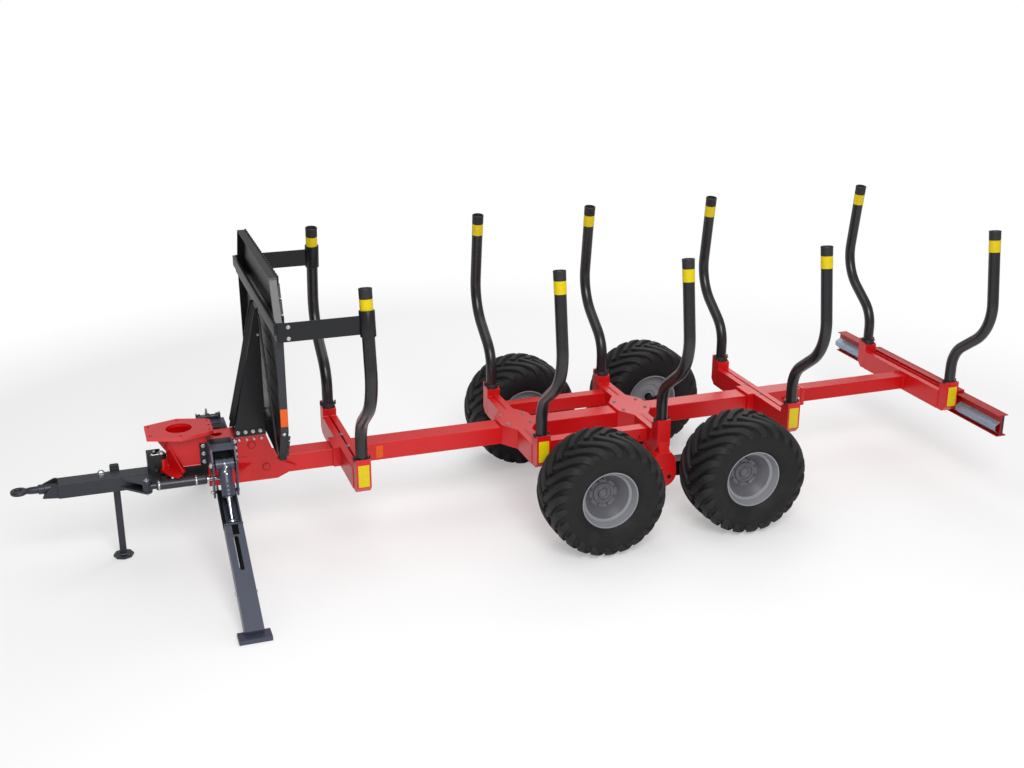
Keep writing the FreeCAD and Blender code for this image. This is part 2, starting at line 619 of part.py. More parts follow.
def stabiliser_bracket():
    """Two cheeks beside the leg, tied at the top and fixed to the side of the frame."""
    top_y, top_z = STAB_CYLINDER_TOP
    hinge_y, hinge_z = STAB_HINGE
    round_off = STAB_CHEEK_RADIUS
    outline = [(FRAME_OUTER_Y, STAB_CHEEK_BOTTOM), (FRAME_OUTER_Y, STAB_CHEEK_TOP),
               (STAB_CHEEK_SHOULDER_Y, STAB_CHEEK_TOP),
               (top_y + 0.7 * round_off, top_z + 0.7 * round_off), (top_y + round_off, top_z),
               (hinge_y + round_off, hinge_z), (hinge_y - round_off, hinge_z),
               (hinge_y - round_off / 2, STAB_CHEEK_BOTTOM)]
    inner, outer = STAB_PLATE_X
    cheeks = []
    for x0, x1 in ((STAB_X + inner, STAB_X + outer), (STAB_X - outer, STAB_X - inner)):
        ends = [rod((x0, y, z), (x1, y, z), round_off) for y, z in (STAB_CYLINDER_TOP, STAB_HINGE)]
        cheeks.append(join(plate_yz(outline, x0, x1), *ends))
    tie = box(STAB_X - inner, STAB_X + inner, STAB_TIE_BACK_Y, STAB_CHEEK_SHOULDER_Y,
              STAB_CHEEK_TOP - STAB_TIE_THICKNESS, STAB_CHEEK_TOP)
    return join(cheeks[0], cheeks[1], tie)


def stabiliser_leg():
    """Leg open on its upper side over the cylinder, with a closed lower end and a foot."""
    reach = math.hypot(STAB_GROUND[0] - STAB_HINGE[0], STAB_GROUND[1] - STAB_HINGE[1])
    depth = STAB_LEG_HALF_DEPTH
    x0, x1 = STAB_X - STAB_LEG_HALF_X, STAB_X + STAB_LEG_HALF_X
    body = slab(STAB_HINGE, STAB_GROUND, 0, reach, -depth, depth, x0, x1)
    root = rod(at_stab(STAB_HINGE, -STAB_LEG_HALF_X), at_stab(STAB_HINGE, STAB_LEG_HALF_X), depth)
    channel = slab(STAB_HINGE, STAB_GROUND, -depth - 1, STAB_CHANNEL_END, 10 - depth, depth + 1,
                   x0 + 10, x1 - 10)
    half_x, half_y = STAB_FOOT_HALF
    foot = box(STAB_X - half_x, STAB_X + half_x, STAB_GROUND[0] - half_y, STAB_GROUND[0] + half_y,
               0, STAB_FOOT_HEIGHT)
    below = box(x0 - 1, x1 + 1, STAB_GROUND[0] - 300, STAB_GROUND[0] + 300, -300, 0)
    return join(join(body, root).cut(channel).cut(below), foot)


def stabiliser_barrel():
    end = along(STAB_CYLINDER_TOP, STAB_CYLINDER_FOOT, STAB_BARREL_END)
    bore_start = along(STAB_CYLINDER_TOP, STAB_CYLINDER_FOOT, STAB_BARREL_RADIUS + 5)
    bore_end = along(STAB_CYLINDER_TOP, STAB_CYLINDER_FOOT, STAB_BARREL_END + 1)
    body = rod(at_stab(STAB_CYLINDER_TOP), at_stab(end), STAB_BARREL_RADIUS)
    trunnion = rod(at_stab(STAB_CYLINDER_TOP, -60), at_stab(STAB_CYLINDER_TOP, 60), STAB_BARREL_RADIUS)
    bore = rod(at_stab(bore_start), at_stab(bore_end), STAB_ROD_RADIUS + PLAY)
    return join(body, trunnion).cut(bore)


def stabiliser_rod():
    inside = along(STAB_CYLINDER_TOP, STAB_CYLINDER_FOOT, STAB_BARREL_END - 25)
    shaft = rod(at_stab(inside), at_stab(STAB_CYLINDER_FOOT), STAB_ROD_RADIUS)
    eye = rod(at_stab(STAB_CYLINDER_FOOT, -22), at_stab(STAB_CYLINDER_FOOT, 22), STAB_EYE_RADIUS)
    return join(shaft, eye)


save("stabiliser_brackets", pair(stabiliser_bracket()))
for node, shape in (("stabiliser_leg_", stabiliser_leg()), ("stabiliser_barrel_", stabiliser_barrel()),
                    ("stabiliser_rod_", stabiliser_rod())):
    save(node + "left", shape)
    save(node + "right", mirrored(shape))

# ---- drawbar -----------------------------------------------------------------
save("drawbar_tube", box_tube(DRAWBAR_REAR, DRAWBAR_FRONT, DRAWBAR_HALF_WIDTH,
                              DRAWBAR_BOTTOM, DRAWBAR_TOP))


def clevis_ear(z0, z1):
    half = CLEVIS_EAR_RADIUS
    return join(box(PIVOT_X, CLEVIS_BACK, -half, half, z0, z1), upright(PIVOT_X, 0, z0, z1, half))


clevis_back = box(CLEVIS_BACK, DRAWBAR_REAR, -DRAWBAR_HALF_WIDTH, DRAWBAR_HALF_WIDTH,
                  DRAWBAR_BOTTOM, CLEVIS_UPPER_Z[1])
pivot_pin = upright(PIVOT_X, 0, CLEVIS_LOWER_Z[0] - 8, CLEVIS_UPPER_Z[1] + 8, PIVOT_PIN_RADIUS)
save("drawbar_clevis", join(clevis_back, clevis_ear(*CLEVIS_UPPER_Z), clevis_ear(*CLEVIS_LOWER_Z), pivot_pin))


def drawbar_lug(z0):
    """Tapered plate from the side of the drawbar to the cylinder's pin, rounded at the pin."""
    dx = BAR_LUG_ROOT_X - STEER_BARREL_X
    dy = DRAWBAR_HALF_WIDTH - STEER_Y
    turn = math.atan2(dy, dx) + math.acos(BAR_LUG_RADIUS / math.hypot(dx, dy))
    outline = [(DRAWBAR_REAR, DRAWBAR_HALF_WIDTH), (BAR_LUG_ROOT_X, DRAWBAR_HALF_WIDTH),
               (STEER_BARREL_X + BAR_LUG_RADIUS * math.cos(turn), STEER_Y + BAR_LUG_RADIUS * math.sin(turn)),
               (STEER_BARREL_X - BAR_LUG_RADIUS, STEER_Y)]
    z1 = z0 + BAR_LUG_THICKNESS
    return join(plate_xy(outline, z0, z1), upright(STEER_BARREL_X, STEER_Y, z0, z1, BAR_LUG_RADIUS))


save("drawbar_lugs", Part.makeCompound([drawbar_lug(z) for z in BAR_LUG_Z]))
eye_ring = join(upright(TOW_EYE_X, 0, TOW_EYE_Z - TOW_EYE_HALF, TOW_EYE_Z + TOW_EYE_HALF, TOW_EYE_RADIUS),
                rod((DRAWBAR_FRONT, 0, TOW_EYE_Z), (TOW_EYE_X - TOW_EYE_RADIUS + 12, 0, TOW_EYE_Z),
                    TOW_SHANK_RADIUS))
save("tow_eye", eye_ring.cut(upright(TOW_EYE_X, 0, TOW_EYE_Z - 50, TOW_EYE_Z + 50, TOW_EYE_BORE)))


# ---- steering cylinder -------------------------------------------------------
def steering_barrel():
    neck = rod((STEER_BARREL_X - 20, STEER_Y, STEER_Z), (STEER_BARREL_X - 80, STEER_Y, STEER_Z),
               STEER_EYE_HALF - 2)
    body = rod((STEER_BARREL_X - 75, STEER_Y, STEER_Z), (STEER_GLAND_X, STEER_Y, STEER_Z),
               STEER_BARREL_RADIUS)
    eye = upright(STEER_BARREL_X, STEER_Y, STEER_Z - STEER_EYE_HALF, STEER_Z + STEER_EYE_HALF,
                  STEER_EYE_RADIUS)
    bore = rod((STEER_BARREL_X - 90, STEER_Y, STEER_Z), (STEER_GLAND_X - 1, STEER_Y, STEER_Z),
               STEER_ROD_RADIUS + PLAY)
    return join(body, neck, eye).cut(bore)


def steering_rod():
    shaft = rod((STEER_ROD_X, STEER_Y, STEER_Z), (STEER_GLAND_X + STEER_ROD_INSIDE, STEER_Y, STEER_Z),
                STEER_ROD_RADIUS)
    half = STEER_ROD_EYE_HALF
    eye = upright(STEER_ROD_X, STEER_Y, STEER_Z - half, STEER_Z + half, STEER_ROD_EYE_RADIUS)
    return join(shaft, eye)


save("steering_barrel", steering_barrel())
save("steering_rod", steering_rod())

# ---- jack --------------------------------------------------------------------
hole = JACK_HALF + JACK_PLAY
wall = hole + JACK_SLEEVE_WALL
sleeve = box(JACK_X - wall, JACK_X + wall, JACK_Y - wall, -DRAWBAR_HALF_WIDTH, *JACK_SLEEVE_Z)
save("jack_sleeve", sleeve.cut(box(JACK_X - hole, JACK_X + hole, JACK_Y - hole, JACK_Y + hole,
                                   JACK_SLEEVE_Z[0] - 1, JACK_SLEEVE_Z[1] + 1)))
post = box(JACK_X - JACK_HALF, JACK_X + JACK_HALF, JACK_Y - JACK_HALF, JACK_Y + JACK_HALF,
           JACK_FOOT_HEIGHT, JACK_POST_TOP)
save("jack_leg", join(post, upright(JACK_X, JACK_Y, 0, JACK_FOOT_HEIGHT, JACK_FOOT_RADIUS)))
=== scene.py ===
import bpy
import bmesh
import math
from mathutils import Matrix, Vector


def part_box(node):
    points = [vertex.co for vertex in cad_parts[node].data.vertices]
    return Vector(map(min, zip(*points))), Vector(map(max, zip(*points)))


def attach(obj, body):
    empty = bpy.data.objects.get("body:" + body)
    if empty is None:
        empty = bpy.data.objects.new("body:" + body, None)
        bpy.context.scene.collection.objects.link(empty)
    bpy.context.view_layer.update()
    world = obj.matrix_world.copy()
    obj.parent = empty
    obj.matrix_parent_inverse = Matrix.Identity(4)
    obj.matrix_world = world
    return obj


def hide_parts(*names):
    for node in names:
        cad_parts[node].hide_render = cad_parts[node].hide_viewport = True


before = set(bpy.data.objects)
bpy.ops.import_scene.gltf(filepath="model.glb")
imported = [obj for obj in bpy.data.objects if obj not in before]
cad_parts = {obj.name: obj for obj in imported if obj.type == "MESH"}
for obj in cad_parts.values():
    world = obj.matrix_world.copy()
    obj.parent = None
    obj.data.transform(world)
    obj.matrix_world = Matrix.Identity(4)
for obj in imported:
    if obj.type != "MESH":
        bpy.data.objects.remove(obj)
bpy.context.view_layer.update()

# ---- show ground -------------------------------------------------------------
# A pale studio floor that runs out to white, a soft even sky, a large softbox
# high on the left and two weaker ones. The trailer keeps its shadow on the floor.


def plug(tree, socket, value):
    """Links a node's output to a socket, or writes a plain value there."""
    if isinstance(value, bpy.types.NodeSocket):
        tree.links.new(value, socket)
    else:
        socket.default_value = value


def place(tree, kind, settings=None, **sockets):
    """Adds a shader node. Settings are its own options, sockets are its inputs by name."""
    made = tree.nodes.new("ShaderNode" + kind)
    for option, value in (settings or {}).items():
        setattr(made, option, value)
    for label, value in sockets.items():
        plug(tree, made.inputs[label.replace("_", " ")], value)
    return made


def calc(tree, operation, *values):
    """A Math node's output for one to three values or outputs."""
    made = tree.nodes.new("ShaderNodeMath")
    made.operation = operation
    for socket, value in zip(made.inputs, values):
        plug(tree, socket, value)
    return made.outputs[0]


def noise(tree, where, scale, detail, roughness=0.5):
    """A cloudy value between 0 and 1."""
    return place(tree, "TexNoise", Vector=where, Scale=scale, Detail=detail,
                 Roughness=roughness).outputs["Fac"]


def tint(tree, share, first, second):
    """Mixes two colours by a share between 0 and 1."""
    made = tree.nodes.new("ShaderNodeMix")
    made.data_type = "RGBA"
    plug(tree, made.inputs[0], share)
    plug(tree, made.inputs[6], first)
    plug(tree, made.inputs[7], second)
    return made.outputs[2]


def colour(red, green, blue):
    """A colour from screen values 0 to 255, as the linear values a shader takes."""
    linear = []
    for value in (red / 255, green / 255, blue / 255):
        linear.append(value / 12.92 if value <= 0.04045 else ((value + 0.055) / 1.055) ** 2.4)
    return (*linear, 1.0)


def blank_material(name):
    """An empty node material and its output node."""
    material = bpy.data.materials.new(name)
    material.use_nodes = True
    tree = material.node_tree
    tree.nodes.clear()
    return material, tree, tree.nodes.new("ShaderNodeOutputMaterial")


FLOOR_REACH = 60.0
FLOOR_FADE = (4.2, 7.5)
FLOOR_GLOW = 0.35
floor_material, tree, out = blank_material("studio floor")
where = place(tree, "TexCoord").outputs["Object"]
away = place(tree, "VectorMath", {"operation": "LENGTH"}, Vector=where).outputs["Value"]
fade = place(tree, "MapRange", {"interpolation_type": "SMOOTHSTEP"}, Value=away,
             From_Min=FLOOR_FADE[0], From_Max=FLOOR_FADE[1]).outputs["Result"]
seen = place(tree, "LightPath").outputs["Is Camera Ray"]
grain = noise(tree, where, 180.0, 3.0)
floor_paint = tint(tree, grain, colour(244, 244, 245), colour(248, 248, 248))
matt = place(tree, "BsdfPrincipled", Base_Color=floor_paint, Roughness=0.9, Normal=place(
    tree, "Bump", Strength=0.05, Distance=0.001, Height=grain).outputs[0])
matt.inputs["Specular IOR Level"].default_value = 0.1
white = place(tree, "Emission", Color=(1, 1, 1, 1), Strength=1.0)
glow = calc(tree, "MULTIPLY", calc(tree, "MAXIMUM", fade, FLOOR_GLOW), seen)
mixed = place(tree, "MixShader", Fac=glow)
tree.links.new(matt.outputs[0], mixed.inputs[1])
tree.links.new(white.outputs[0], mixed.inputs[2])
tree.links.new(mixed.outputs[0], out.inputs["Surface"])
floor_mesh = bpy.data.meshes.new("studio_floor")
corners = [(-FLOOR_REACH, -FLOOR_REACH), (FLOOR_REACH, -FLOOR_REACH), (FLOOR_REACH, FLOOR_REACH),
           (-FLOOR_REACH, FLOOR_REACH)]
floor_mesh.from_pydata([(x, y, -0.001) for x, y in corners], [], [(0, 1, 2, 3)])
floor_mesh.materials.append(floor_material)
floor = bpy.data.objects.new("studio_floor", floor_mesh)
bpy.context.scene.collection.objects.link(floor)

SKY_LEVEL = 0.45
studio = bpy.data.worlds.new("studio")
bpy.context.scene.world = studio
studio.use_nodes = True
tree = studio.node_tree
tree.nodes.clear()
rays = place(tree, "LightPath")
shown = calc(tree, "MAXIMUM", rays.outputs["Is Camera Ray"], rays.outputs["Is Transmission Ray"])
level = calc(tree, "MULTIPLY_ADD", shown, 1.0 - SKY_LEVEL, SKY_LEVEL)
sky = place(tree, "Background", Color=(1, 1, 1, 1), Strength=level)
out = tree.nodes.new("ShaderNodeOutputWorld")
tree.links.new(sky.outputs[0], out.inputs["Surface"])

SOFTBOXES = {
    "left_softbox": ((1.6, 9.8, 8.6), (0.0, 0.0, 0.8), 6.0, 960.0),
    "overhead_softbox": ((0.0, -1.0, 9.0), (0.0, 0.0, 0.8), 7.0, 170.0),
    "right_rear_softbox": ((-6.0, -7.0, 7.0), (0.0, 0.0, 0.8), 7.0, 260.0),
}
for name, (spot, target, size, power) in SOFTBOXES.items():
    lamp = bpy.data.lights.new(name, "AREA")
    lamp.shape = "DISK"
    lamp.size = size
    lamp.energy = power
    softbox = bpy.data.objects.new(name, lamp)
    softbox.location = spot
    softbox.rotation_euler = (Vector(target) - Vector(spot)).to_track_quat("-Z", "Y").to_euler()
    bpy.context.scene.collection.objects.link(softbox)

lens = bpy.data.cameras.new("show_camera")
lens.lens = 46.33
lens.sensor_width = 36.0
lens.clip_end = 200.0
show_camera = bpy.data.objects.new("show_camera", lens)
show_camera.location = (3.2625, 9.2974, 4.6076)
show_camera.rotation_euler = [math.radians(angle) for angle in (70.144, 0.0, 160.856)]
bpy.context.scene.collection.objects.link(show_camera)
bpy.context.scene.camera = show_camera
bpy.context.scene.view_settings.view_transform = "Standard"

# ---- main beam and sliding extension -----------------------------------------
# A long rectangular steel tube with a smaller one sliding inside its rear end.
# Both are welded up, shot blasted and sprayed red. Two screws lock the slide.


def effect_group(name, inputs, outputs):
    """A shared shader effect with named number inputs and outputs."""
    group = bpy.data.node_groups.new(name, "ShaderNodeTree")
    for label, value in inputs.items():
        group.interface.new_socket(name=label, in_out="INPUT",
                                   socket_type="NodeSocketFloat").default_value = value
    for label in outputs:
        group.interface.new_socket(name=label, in_out="OUTPUT", socket_type="NodeSocketFloat")
    return group, group.nodes.new("NodeGroupInput").outputs, group.nodes.new("NodeGroupOutput").inputs


# Rounded edges, broken up by noise: marks rubbed paint and also a painted highlight along the edges.
worn_and_highlit_edges, given, result = effect_group("worn and highlit edges", {"Radius": 0.004, "Break Up": 55.0},
                                           ["Mask"])
tree = worn_and_highlit_edges
rounded = place(tree, "Bevel", {"samples": 4}, Radius=given["Radius"]).outputs[0]
facing = place(tree, "NewGeometry").outputs["Normal"]
same = place(tree, "VectorMath", {"operation": "DOT_PRODUCT"}).outputs["Value"]
tree.links.new(rounded, same.node.inputs[0])
tree.links.new(facing, same.node.inputs[1])
turned_away = calc(tree, "MULTIPLY", calc(tree, "SUBTRACT", 1.0, same), 5.0)
spots = noise(tree, place(tree, "TexCoord").outputs["Object"], given["Break Up"], 4.0)
spots = place(tree, "MapRange", Value=spots, From_Min=0.42, From_Max=0.62).outputs["Result"]
masked = calc(tree, "MULTIPLY", turned_away, spots)
tree.links.new(calc(tree, "MINIMUM", masked, 1.0), result["Mask"])

sprayed_skin, given, result = effect_group(
    "sprayed skin", {"Peel Scale": 220.0, "Cloud Scale": 2.2}, ["Peel", "Cloud", "Speck"])
tree = sprayed_skin
where = place(tree, "TexCoord").outputs["Object"]
tree.links.new(noise(tree, where, given["Peel Scale"], 2.0, 0.4), result["Peel"])
tree.links.new(noise(tree, where, given["Cloud Scale"], 3.0, 0.6), result["Cloud"])
specks = place(tree, "TexVoronoi", Vector=where, Scale=90.0).outputs["Distance"]
specks = place(tree, "MapRange", Value=specks, From_Min=0.16, From_Max=0.05).outputs["Result"]
tree.links.new(specks, result["Speck"])

yard_dust, given, result = effect_group("yard dust", {"Reach": 0.9, "Amount": 0.5}, ["Mask"])
tree = yard_dust
where = place(tree, "TexCoord").outputs["Object"]
height = place(tree, "SeparateXYZ", Vector=where).outputs["Z"]
low_down = place(tree, "MapRange", Value=height, From_Min=given["Reach"], From_Max=0.0)
patches = noise(tree, where, 9.0, 8.0, 0.7)
patches = place(tree, "MapRange", Value=patches, From_Min=0.45, From_Max=0.75)
dust = calc(tree, "MULTIPLY", low_down.outputs["Result"], patches.outputs["Result"])
tree.links.new(calc(tree, "MULTIPLY", dust, given["Amount"]), result["Mask"])


def use_effect(tree, group, **values):
    """Places a shared effect in a material with its own values."""
    made = tree.nodes.new("ShaderNodeGroup")
    made.node_tree = group
    for label, value in values.items():
        made.inputs[label.replace("_", " ")].default_value = value
    return made.outputs


def surface(tree, out, base, rough, relief, gloss=0.5, metallic=0.0):
    """Closes a material with its colour, roughness and bump of (height, strength, depth)."""
    height, strength, depth = relief
    bump = place(tree, "Bump", Strength=strength, Distance=depth, Height=height)
    made = place(tree, "BsdfPrincipled", Base_Color=base, Roughness=rough, Normal=bump.outputs[0])
    made.inputs["Specular IOR Level"].default_value = gloss
    made.inputs["Metallic"].default_value = metallic
    tree.links.new(made.outputs[0], out.inputs["Surface"])


DUST = colour(126, 112, 96)


def sprayed_paint(name, main, shade, edge, roughness=0.3, edge_share=0.45, dust=0.35, gloss=0.5):
    """Two-pack paint on steel: a little cloudy, orange-peel skin, pale edges that are partly rubbed paint
    and partly a painted highlight, low dust.
    """
    material, tree, out = blank_material(name)
    skin = use_effect(tree, sprayed_skin, Peel_Scale=240.0, Cloud_Scale=2.4)
    edges = use_effect(tree, worn_and_highlit_edges, Radius=0.004, Break_Up=60.0)["Mask"]
    dirt = use_effect(tree, yard_dust, Reach=0.95, Amount=dust)["Mask"]
    base = tint(tree, skin["Cloud"], main, shade)
    base = tint(tree, calc(tree, "MULTIPLY", edges, edge_share), base, edge)
    base = tint(tree, calc(tree, "MULTIPLY", dirt, 0.6), base, DUST)
    rough = calc(tree, "MULTIPLY_ADD", skin["Peel"], 0.10, roughness)
    rough = calc(tree, "MULTIPLY_ADD", skin["Speck"], 0.10, rough)
    rough = calc(tree, "MULTIPLY_ADD", dirt, 0.45, rough)
    surface(tree, out, base, rough, (skin["Peel"], 0.10, 0.0006), gloss)
    return material


red_enamel = sprayed_paint("red enamel", colour(208, 14, 18), colour(196, 10, 15),
                           colour(222, 84, 84), roughness=0.28, edge_share=0.25, dust=0.12)


def coat_nodes(material, *names):
    """Gives CAD pieces their paint."""
    for name in names:
        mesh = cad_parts[name].data
        mesh.materials.clear()
        mesh.materials.append(material)


def roll_edges(width, *names):
    """Rounds the cut and folded edges of CAD pieces a little, as plate and tube have them."""
    for name in names:
        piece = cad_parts[name]
        piece.modifiers.new("one skin", "WELD").merge_threshold = 0.00002
        rounded_edge = piece.modifiers.new("rolled edges", "BEVEL")
        rounded_edge.width = width
        rounded_edge.segments = 2
        rounded_edge.limit_method = "ANGLE"
        rounded_edge.angle_limit = math.radians(50)
        rounded_edge.harden_normals = True


tube_red = sprayed_paint("extension tube red", colour(198, 8, 12), colour(186, 6, 10),
                         colour(210, 70, 70), roughness=0.34, edge_share=0.2, dust=0.12, gloss=0.3)
coat_nodes(red_enamel, "main_beam")
coat_nodes(tube_red, "extension_tube")
roll_edges(0.007, "main_beam")
roll_edges(0.005, "extension_tube")


def turn_round(bm, profile, origin, axis, sides=40, slot_index=0):
    """Turns (distance along the axis, radius) points round an axis; radius 0 closes an end."""
    basis = Matrix.Translation(origin) @ Vector(axis).to_track_quat("Z", "Y").to_matrix().to_4x4()
    rings = []
    for distance, radius in profile:
        count = sides if radius > 1e-6 else 1
        ring = []
        for step in range(count):
            angle = 2 * math.pi * step / sides
            local = Vector((radius * math.cos(angle), radius * math.sin(angle), distance))
            ring.append(bm.verts.new(basis @ local))
        rings.append(ring)
    for low, high in zip(rings, rings[1:]):
        for step in range(sides):
            after = step + 1
            loop = [low[step % len(low)], low[after % len(low)], high[after % len(high)],
                    high[step % len(high)]]
            loop = list(dict.fromkeys(loop))
            if len(loop) > 2:
                bm.faces.new(loop).material_index = slot_index


def hex_bolt(bm, spot, axis, across=0.024, head=0.011, washer=True, slot_index=0):
    """Hexagon head with a chamfered top, on a round washer."""
    base = 0.0
    if washer:
        turn_round(bm, [(0.0, across * 0.86), (0.0025, across * 0.86), (0.003, across * 0.82),
                        (0.003, 0.0)], spot, axis, 20, slot_index)
        base = 0.003
    corner = across / math.sqrt(3)
    turn_round(bm, [(base, corner), (base + head * 0.82, corner), (base + head, corner * 0.84),
                    (base + head, 0.0)], spot, axis, 6, slot_index)


def lay_out(name, bm, body, slot, *materials, sharp=38):
    """Turns a bmesh into a piece that rides on a body and takes the given materials; its slot is not used.
    """
    bmesh.ops.recalc_face_normals(bm, faces=bm.faces)
    mesh = bpy.data.meshes.new(name)
    bm.to_mesh(mesh)
    bm.free()
    for face in mesh.polygons:
        face.use_smooth = True
    mesh.set_sharp_from_angle(angle=math.radians(sharp))
    for material in materials:
        mesh.materials.append(material)
    piece = bpy.data.objects.new(name, mesh)
    bpy.context.scene.collection.objects.link(piece)
    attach(piece, body)
    return piece


def plated_metal(name, bright, dull, roughness):
    """Zinc-plated or bare turned steel: metal with clouded brightness and fine marks."""
    material, tree, out = blank_material(name)
    where = place(tree, "TexCoord").outputs["Object"]
    clouds = noise(tree, where, 70.0, 5.0)
    marks = noise(tree, where, 900.0, 2.0)
    edges = use_effect(tree, worn_and_highlit_edges, Radius=0.0015, Break_Up=200.0)["Mask"]
    base = tint(tree, clouds, bright, dull)
    # Edges go near white: partly rubbed bright metal, partly a painted highlight.
    base = tint(tree, calc(tree, "MULTIPLY", edges, 0.5), base, colour(235, 236, 238))
    rough = calc(tree, "MULTIPLY_ADD", marks, 0.25, roughness)
    surface(tree, out, base, rough, (marks, 0.12, 0.0003), metallic=1.0)
    return material


zinc_plate = plated_metal("zinc plate", colour(214, 216, 220), colour(176, 180, 186), 0.26)


def block(bm, low, high, chamfer=0.002, slot_index=0):
    """Rectangular block with its edges taken off."""
    made = bmesh.ops.create_cube(bm, size=1.0)
    size = Vector(high) - Vector(low)
    centre = (Vector(high) + Vector(low)) / 2
    for vert in made["verts"]:
        vert.co = Vector([vert.co[i] * size[i] for i in range(3)]) + centre
    edges = list({edge for vert in made["verts"] for edge in vert.link_edges})
    faces = {face for vert in made["verts"] for face in vert.link_faces}
    if chamfer:
        cut = bmesh.ops.bevel(bm, geom=edges, offset=chamfer, segments=2, affect="EDGES",
                              profile=0.6)
        faces = {face for face in faces if face.is_valid} | set(cut["faces"])
    for face in faces:
        face.material_index = slot_index


def band(bm, low, high, slot_index=0):
    """Joins two closed rings of corners, face by face."""
    for step in range(len(low)):
        after = (step + 1) % len(low)
        bm.faces.new([low[step], low[after], high[after], high[step]]).material_index = slot_index


def weld_bead(bm, points, radius=0.004):
    """Rippled weld bead along a run of points."""
    stations = []
    for start, end in zip(points, points[1:]):
        start, end = Vector(start), Vector(end)
        steps = max(2, int((end - start).length / 0.006))
        stations += [start.lerp(end, step / steps) for step in range(steps)]
    stations.append(Vector(points[-1]))
    rings = []
    for index, spot in enumerate(stations):
        ahead = stations[min(index + 1, len(stations) - 1)] - stations[max(index - 1, 0)]
        turn = ahead.to_track_quat("Z", "Y").to_matrix()
        swell = radius * (0.86 + 0.14 * (index % 2) + 0.04 * math.sin(index * 1.7))
        ring = []
        for step in range(6):
            angle = math.pi * step / 3
            ring.append(bm.verts.new(spot + turn @ Vector((swell * math.cos(angle),
                                                           swell * math.sin(angle), 0))))
        rings.append(ring)
    for low, high in zip(rings, rings[1:]):
        band(bm, low, high)
    bm.faces.new(rings[0])
    bm.faces.new(list(reversed(rings[-1])))


beam_low, beam_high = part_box("main_beam")
tube_low, tube_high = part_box("extension_tube")
bm = bmesh.new()
LOCK_SCREW_Z = 0.66
for x in (beam_low.x + 0.07, beam_low.x + 0.19):
    turn_round(bm, [(0, 0.022), (0.014, 0.022), (0.016, 0.019), (0.016, 0)],
               (x, beam_high.y, LOCK_SCREW_Z), (0, 1, 0), 6, 1)
    hex_bolt(bm, (x, beam_high.y + 0.016, LOCK_SCREW_Z), (0, 1, 0), 0.024, 0.014, False)
    hex_bolt(bm, (x, beam_low.y, LOCK_SCREW_Z), (0, -1, 0), 0.030, 0.012)
lay_out("extension_lock_screws", bm, "frame", "zinc", zinc_plate, red_enamel)

RIM_OUT = 0.006
bm = bmesh.new()
for y0, y1, z0, z1 in (
        (beam_low.y - RIM_OUT, beam_high.y + RIM_OUT, beam_high.z, beam_high.z + RIM_OUT),
        (beam_low.y - RIM_OUT, beam_high.y + RIM_OUT, beam_low.z - RIM_OUT, beam_low.z),
        (beam_low.y - RIM_OUT, beam_low.y, beam_low.z, beam_high.z),
        (beam_high.y, beam_high.y + RIM_OUT, beam_low.z, beam_high.z)):
    block(bm, (beam_low.x, y0, z0), (beam_low.x + 0.030, y1, z1), 0.0015)
lay_out("beam_mouth_rim", bm, "frame", "red_paint", red_enamel)

end_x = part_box("bolster_5")[1].x + 0.002
bm = bmesh.new()
weld_bead(bm, [(end_x, tube_low.y, tube_low.z), (end_x, tube_low.y, tube_high.z),
               (end_x, tube_high.y, tube_high.z), (end_x, tube_high.y, tube_low.z),
               (end_x, tube_low.y, tube_low.z)], 0.006)
lay_out("extension_tube_welds", bm, "rear_extension", "red_paint", red_enamel)

# ---- bolsters and stake sockets ----------------------------------------------
# Five folded cross beams with a plate box welded on each end. The second and third
# have a seam along the top and four bolts each, the first and fourth two bolts each.
BOLSTERS = ("bolster_1", "bolster_2", "bolster_3", "bolster_4", "bolster_5")
coat_nodes(red_enamel, *BOLSTERS, "sockets_left", "sockets_right", "sockets_rear")
roll_edges(0.006, *BOLSTERS)
roll_edges(0.004, "sockets_left", "sockets_right", "sockets_rear")
CARRIED = (("frame", BOLSTERS[:4], "frame"), ("rear", BOLSTERS[4:], "rear_extension"))


def handed(point, side):
    """The same point on the left (1) or right (-1) side."""
    return Vector((point[0], side * point[1], point[2]))


def side_weld(bm, side, start, end, radius=0.004):
    """Bead given for the left side, laid on either side."""
    weld_bead(bm, [handed(start, side), handed(end, side)], radius)


def side_block(bm, side, low, high, chamfer=0.002, slot_index=0):
    """Block given for the left side, built on either side."""
    y0, y1 = sorted((side * low[1], side * high[1]))
    block(bm, (low[0], y0, low[2]), (high[0], y1, high[2]), chamfer, slot_index)


def prism(bm, first, second, slot_index=0):
    """Closed solid between two matching loops of points."""
    rings = [[bm.verts.new(spot) for spot in loop] for loop in (first, second)]
    for ring in rings:
        bm.faces.new(ring).material_index = slot_index
    band(bm, *rings, slot_index)


bolster_x = {}
for name in BOLSTERS:
    low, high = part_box(name)
    bolster_x[name] = (low.x + high.x) / 2
for name in ("bolster_1", "bolster_4"):
    bolster_x[name] -= 0.026
deck_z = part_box("bolster_2")[1].z
socket_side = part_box("sockets_left")[1].y
SOCKET_Y = 0.605
SOCKET_HALF = 0.055

bm = bmesh.new()
for name in ("bolster_2", "bolster_3"):
    for dx in (-0.096, 0.096):
        for y in (-0.095, 0.095):
            hex_bolt(bm, (bolster_x[name] + dx, y, deck_z), (0, 0, 1), 0.019, 0.009)
for name in ("bolster_1", "bolster_4"):
    for y in (-0.123, 0.123):
        hex_bolt(bm, (bolster_x[name], y, deck_z), (0, 0, 1), 0.018, 0.009)
dull_steel = sprayed_paint("greyed bolt steel", colour(132, 134, 140), colour(108, 110, 116),
                           colour(190, 192, 196), roughness=0.4, edge_share=0.5, dust=0.3)
lay_out("bolster_bolts", bm, "frame", "zinc", dull_steel)

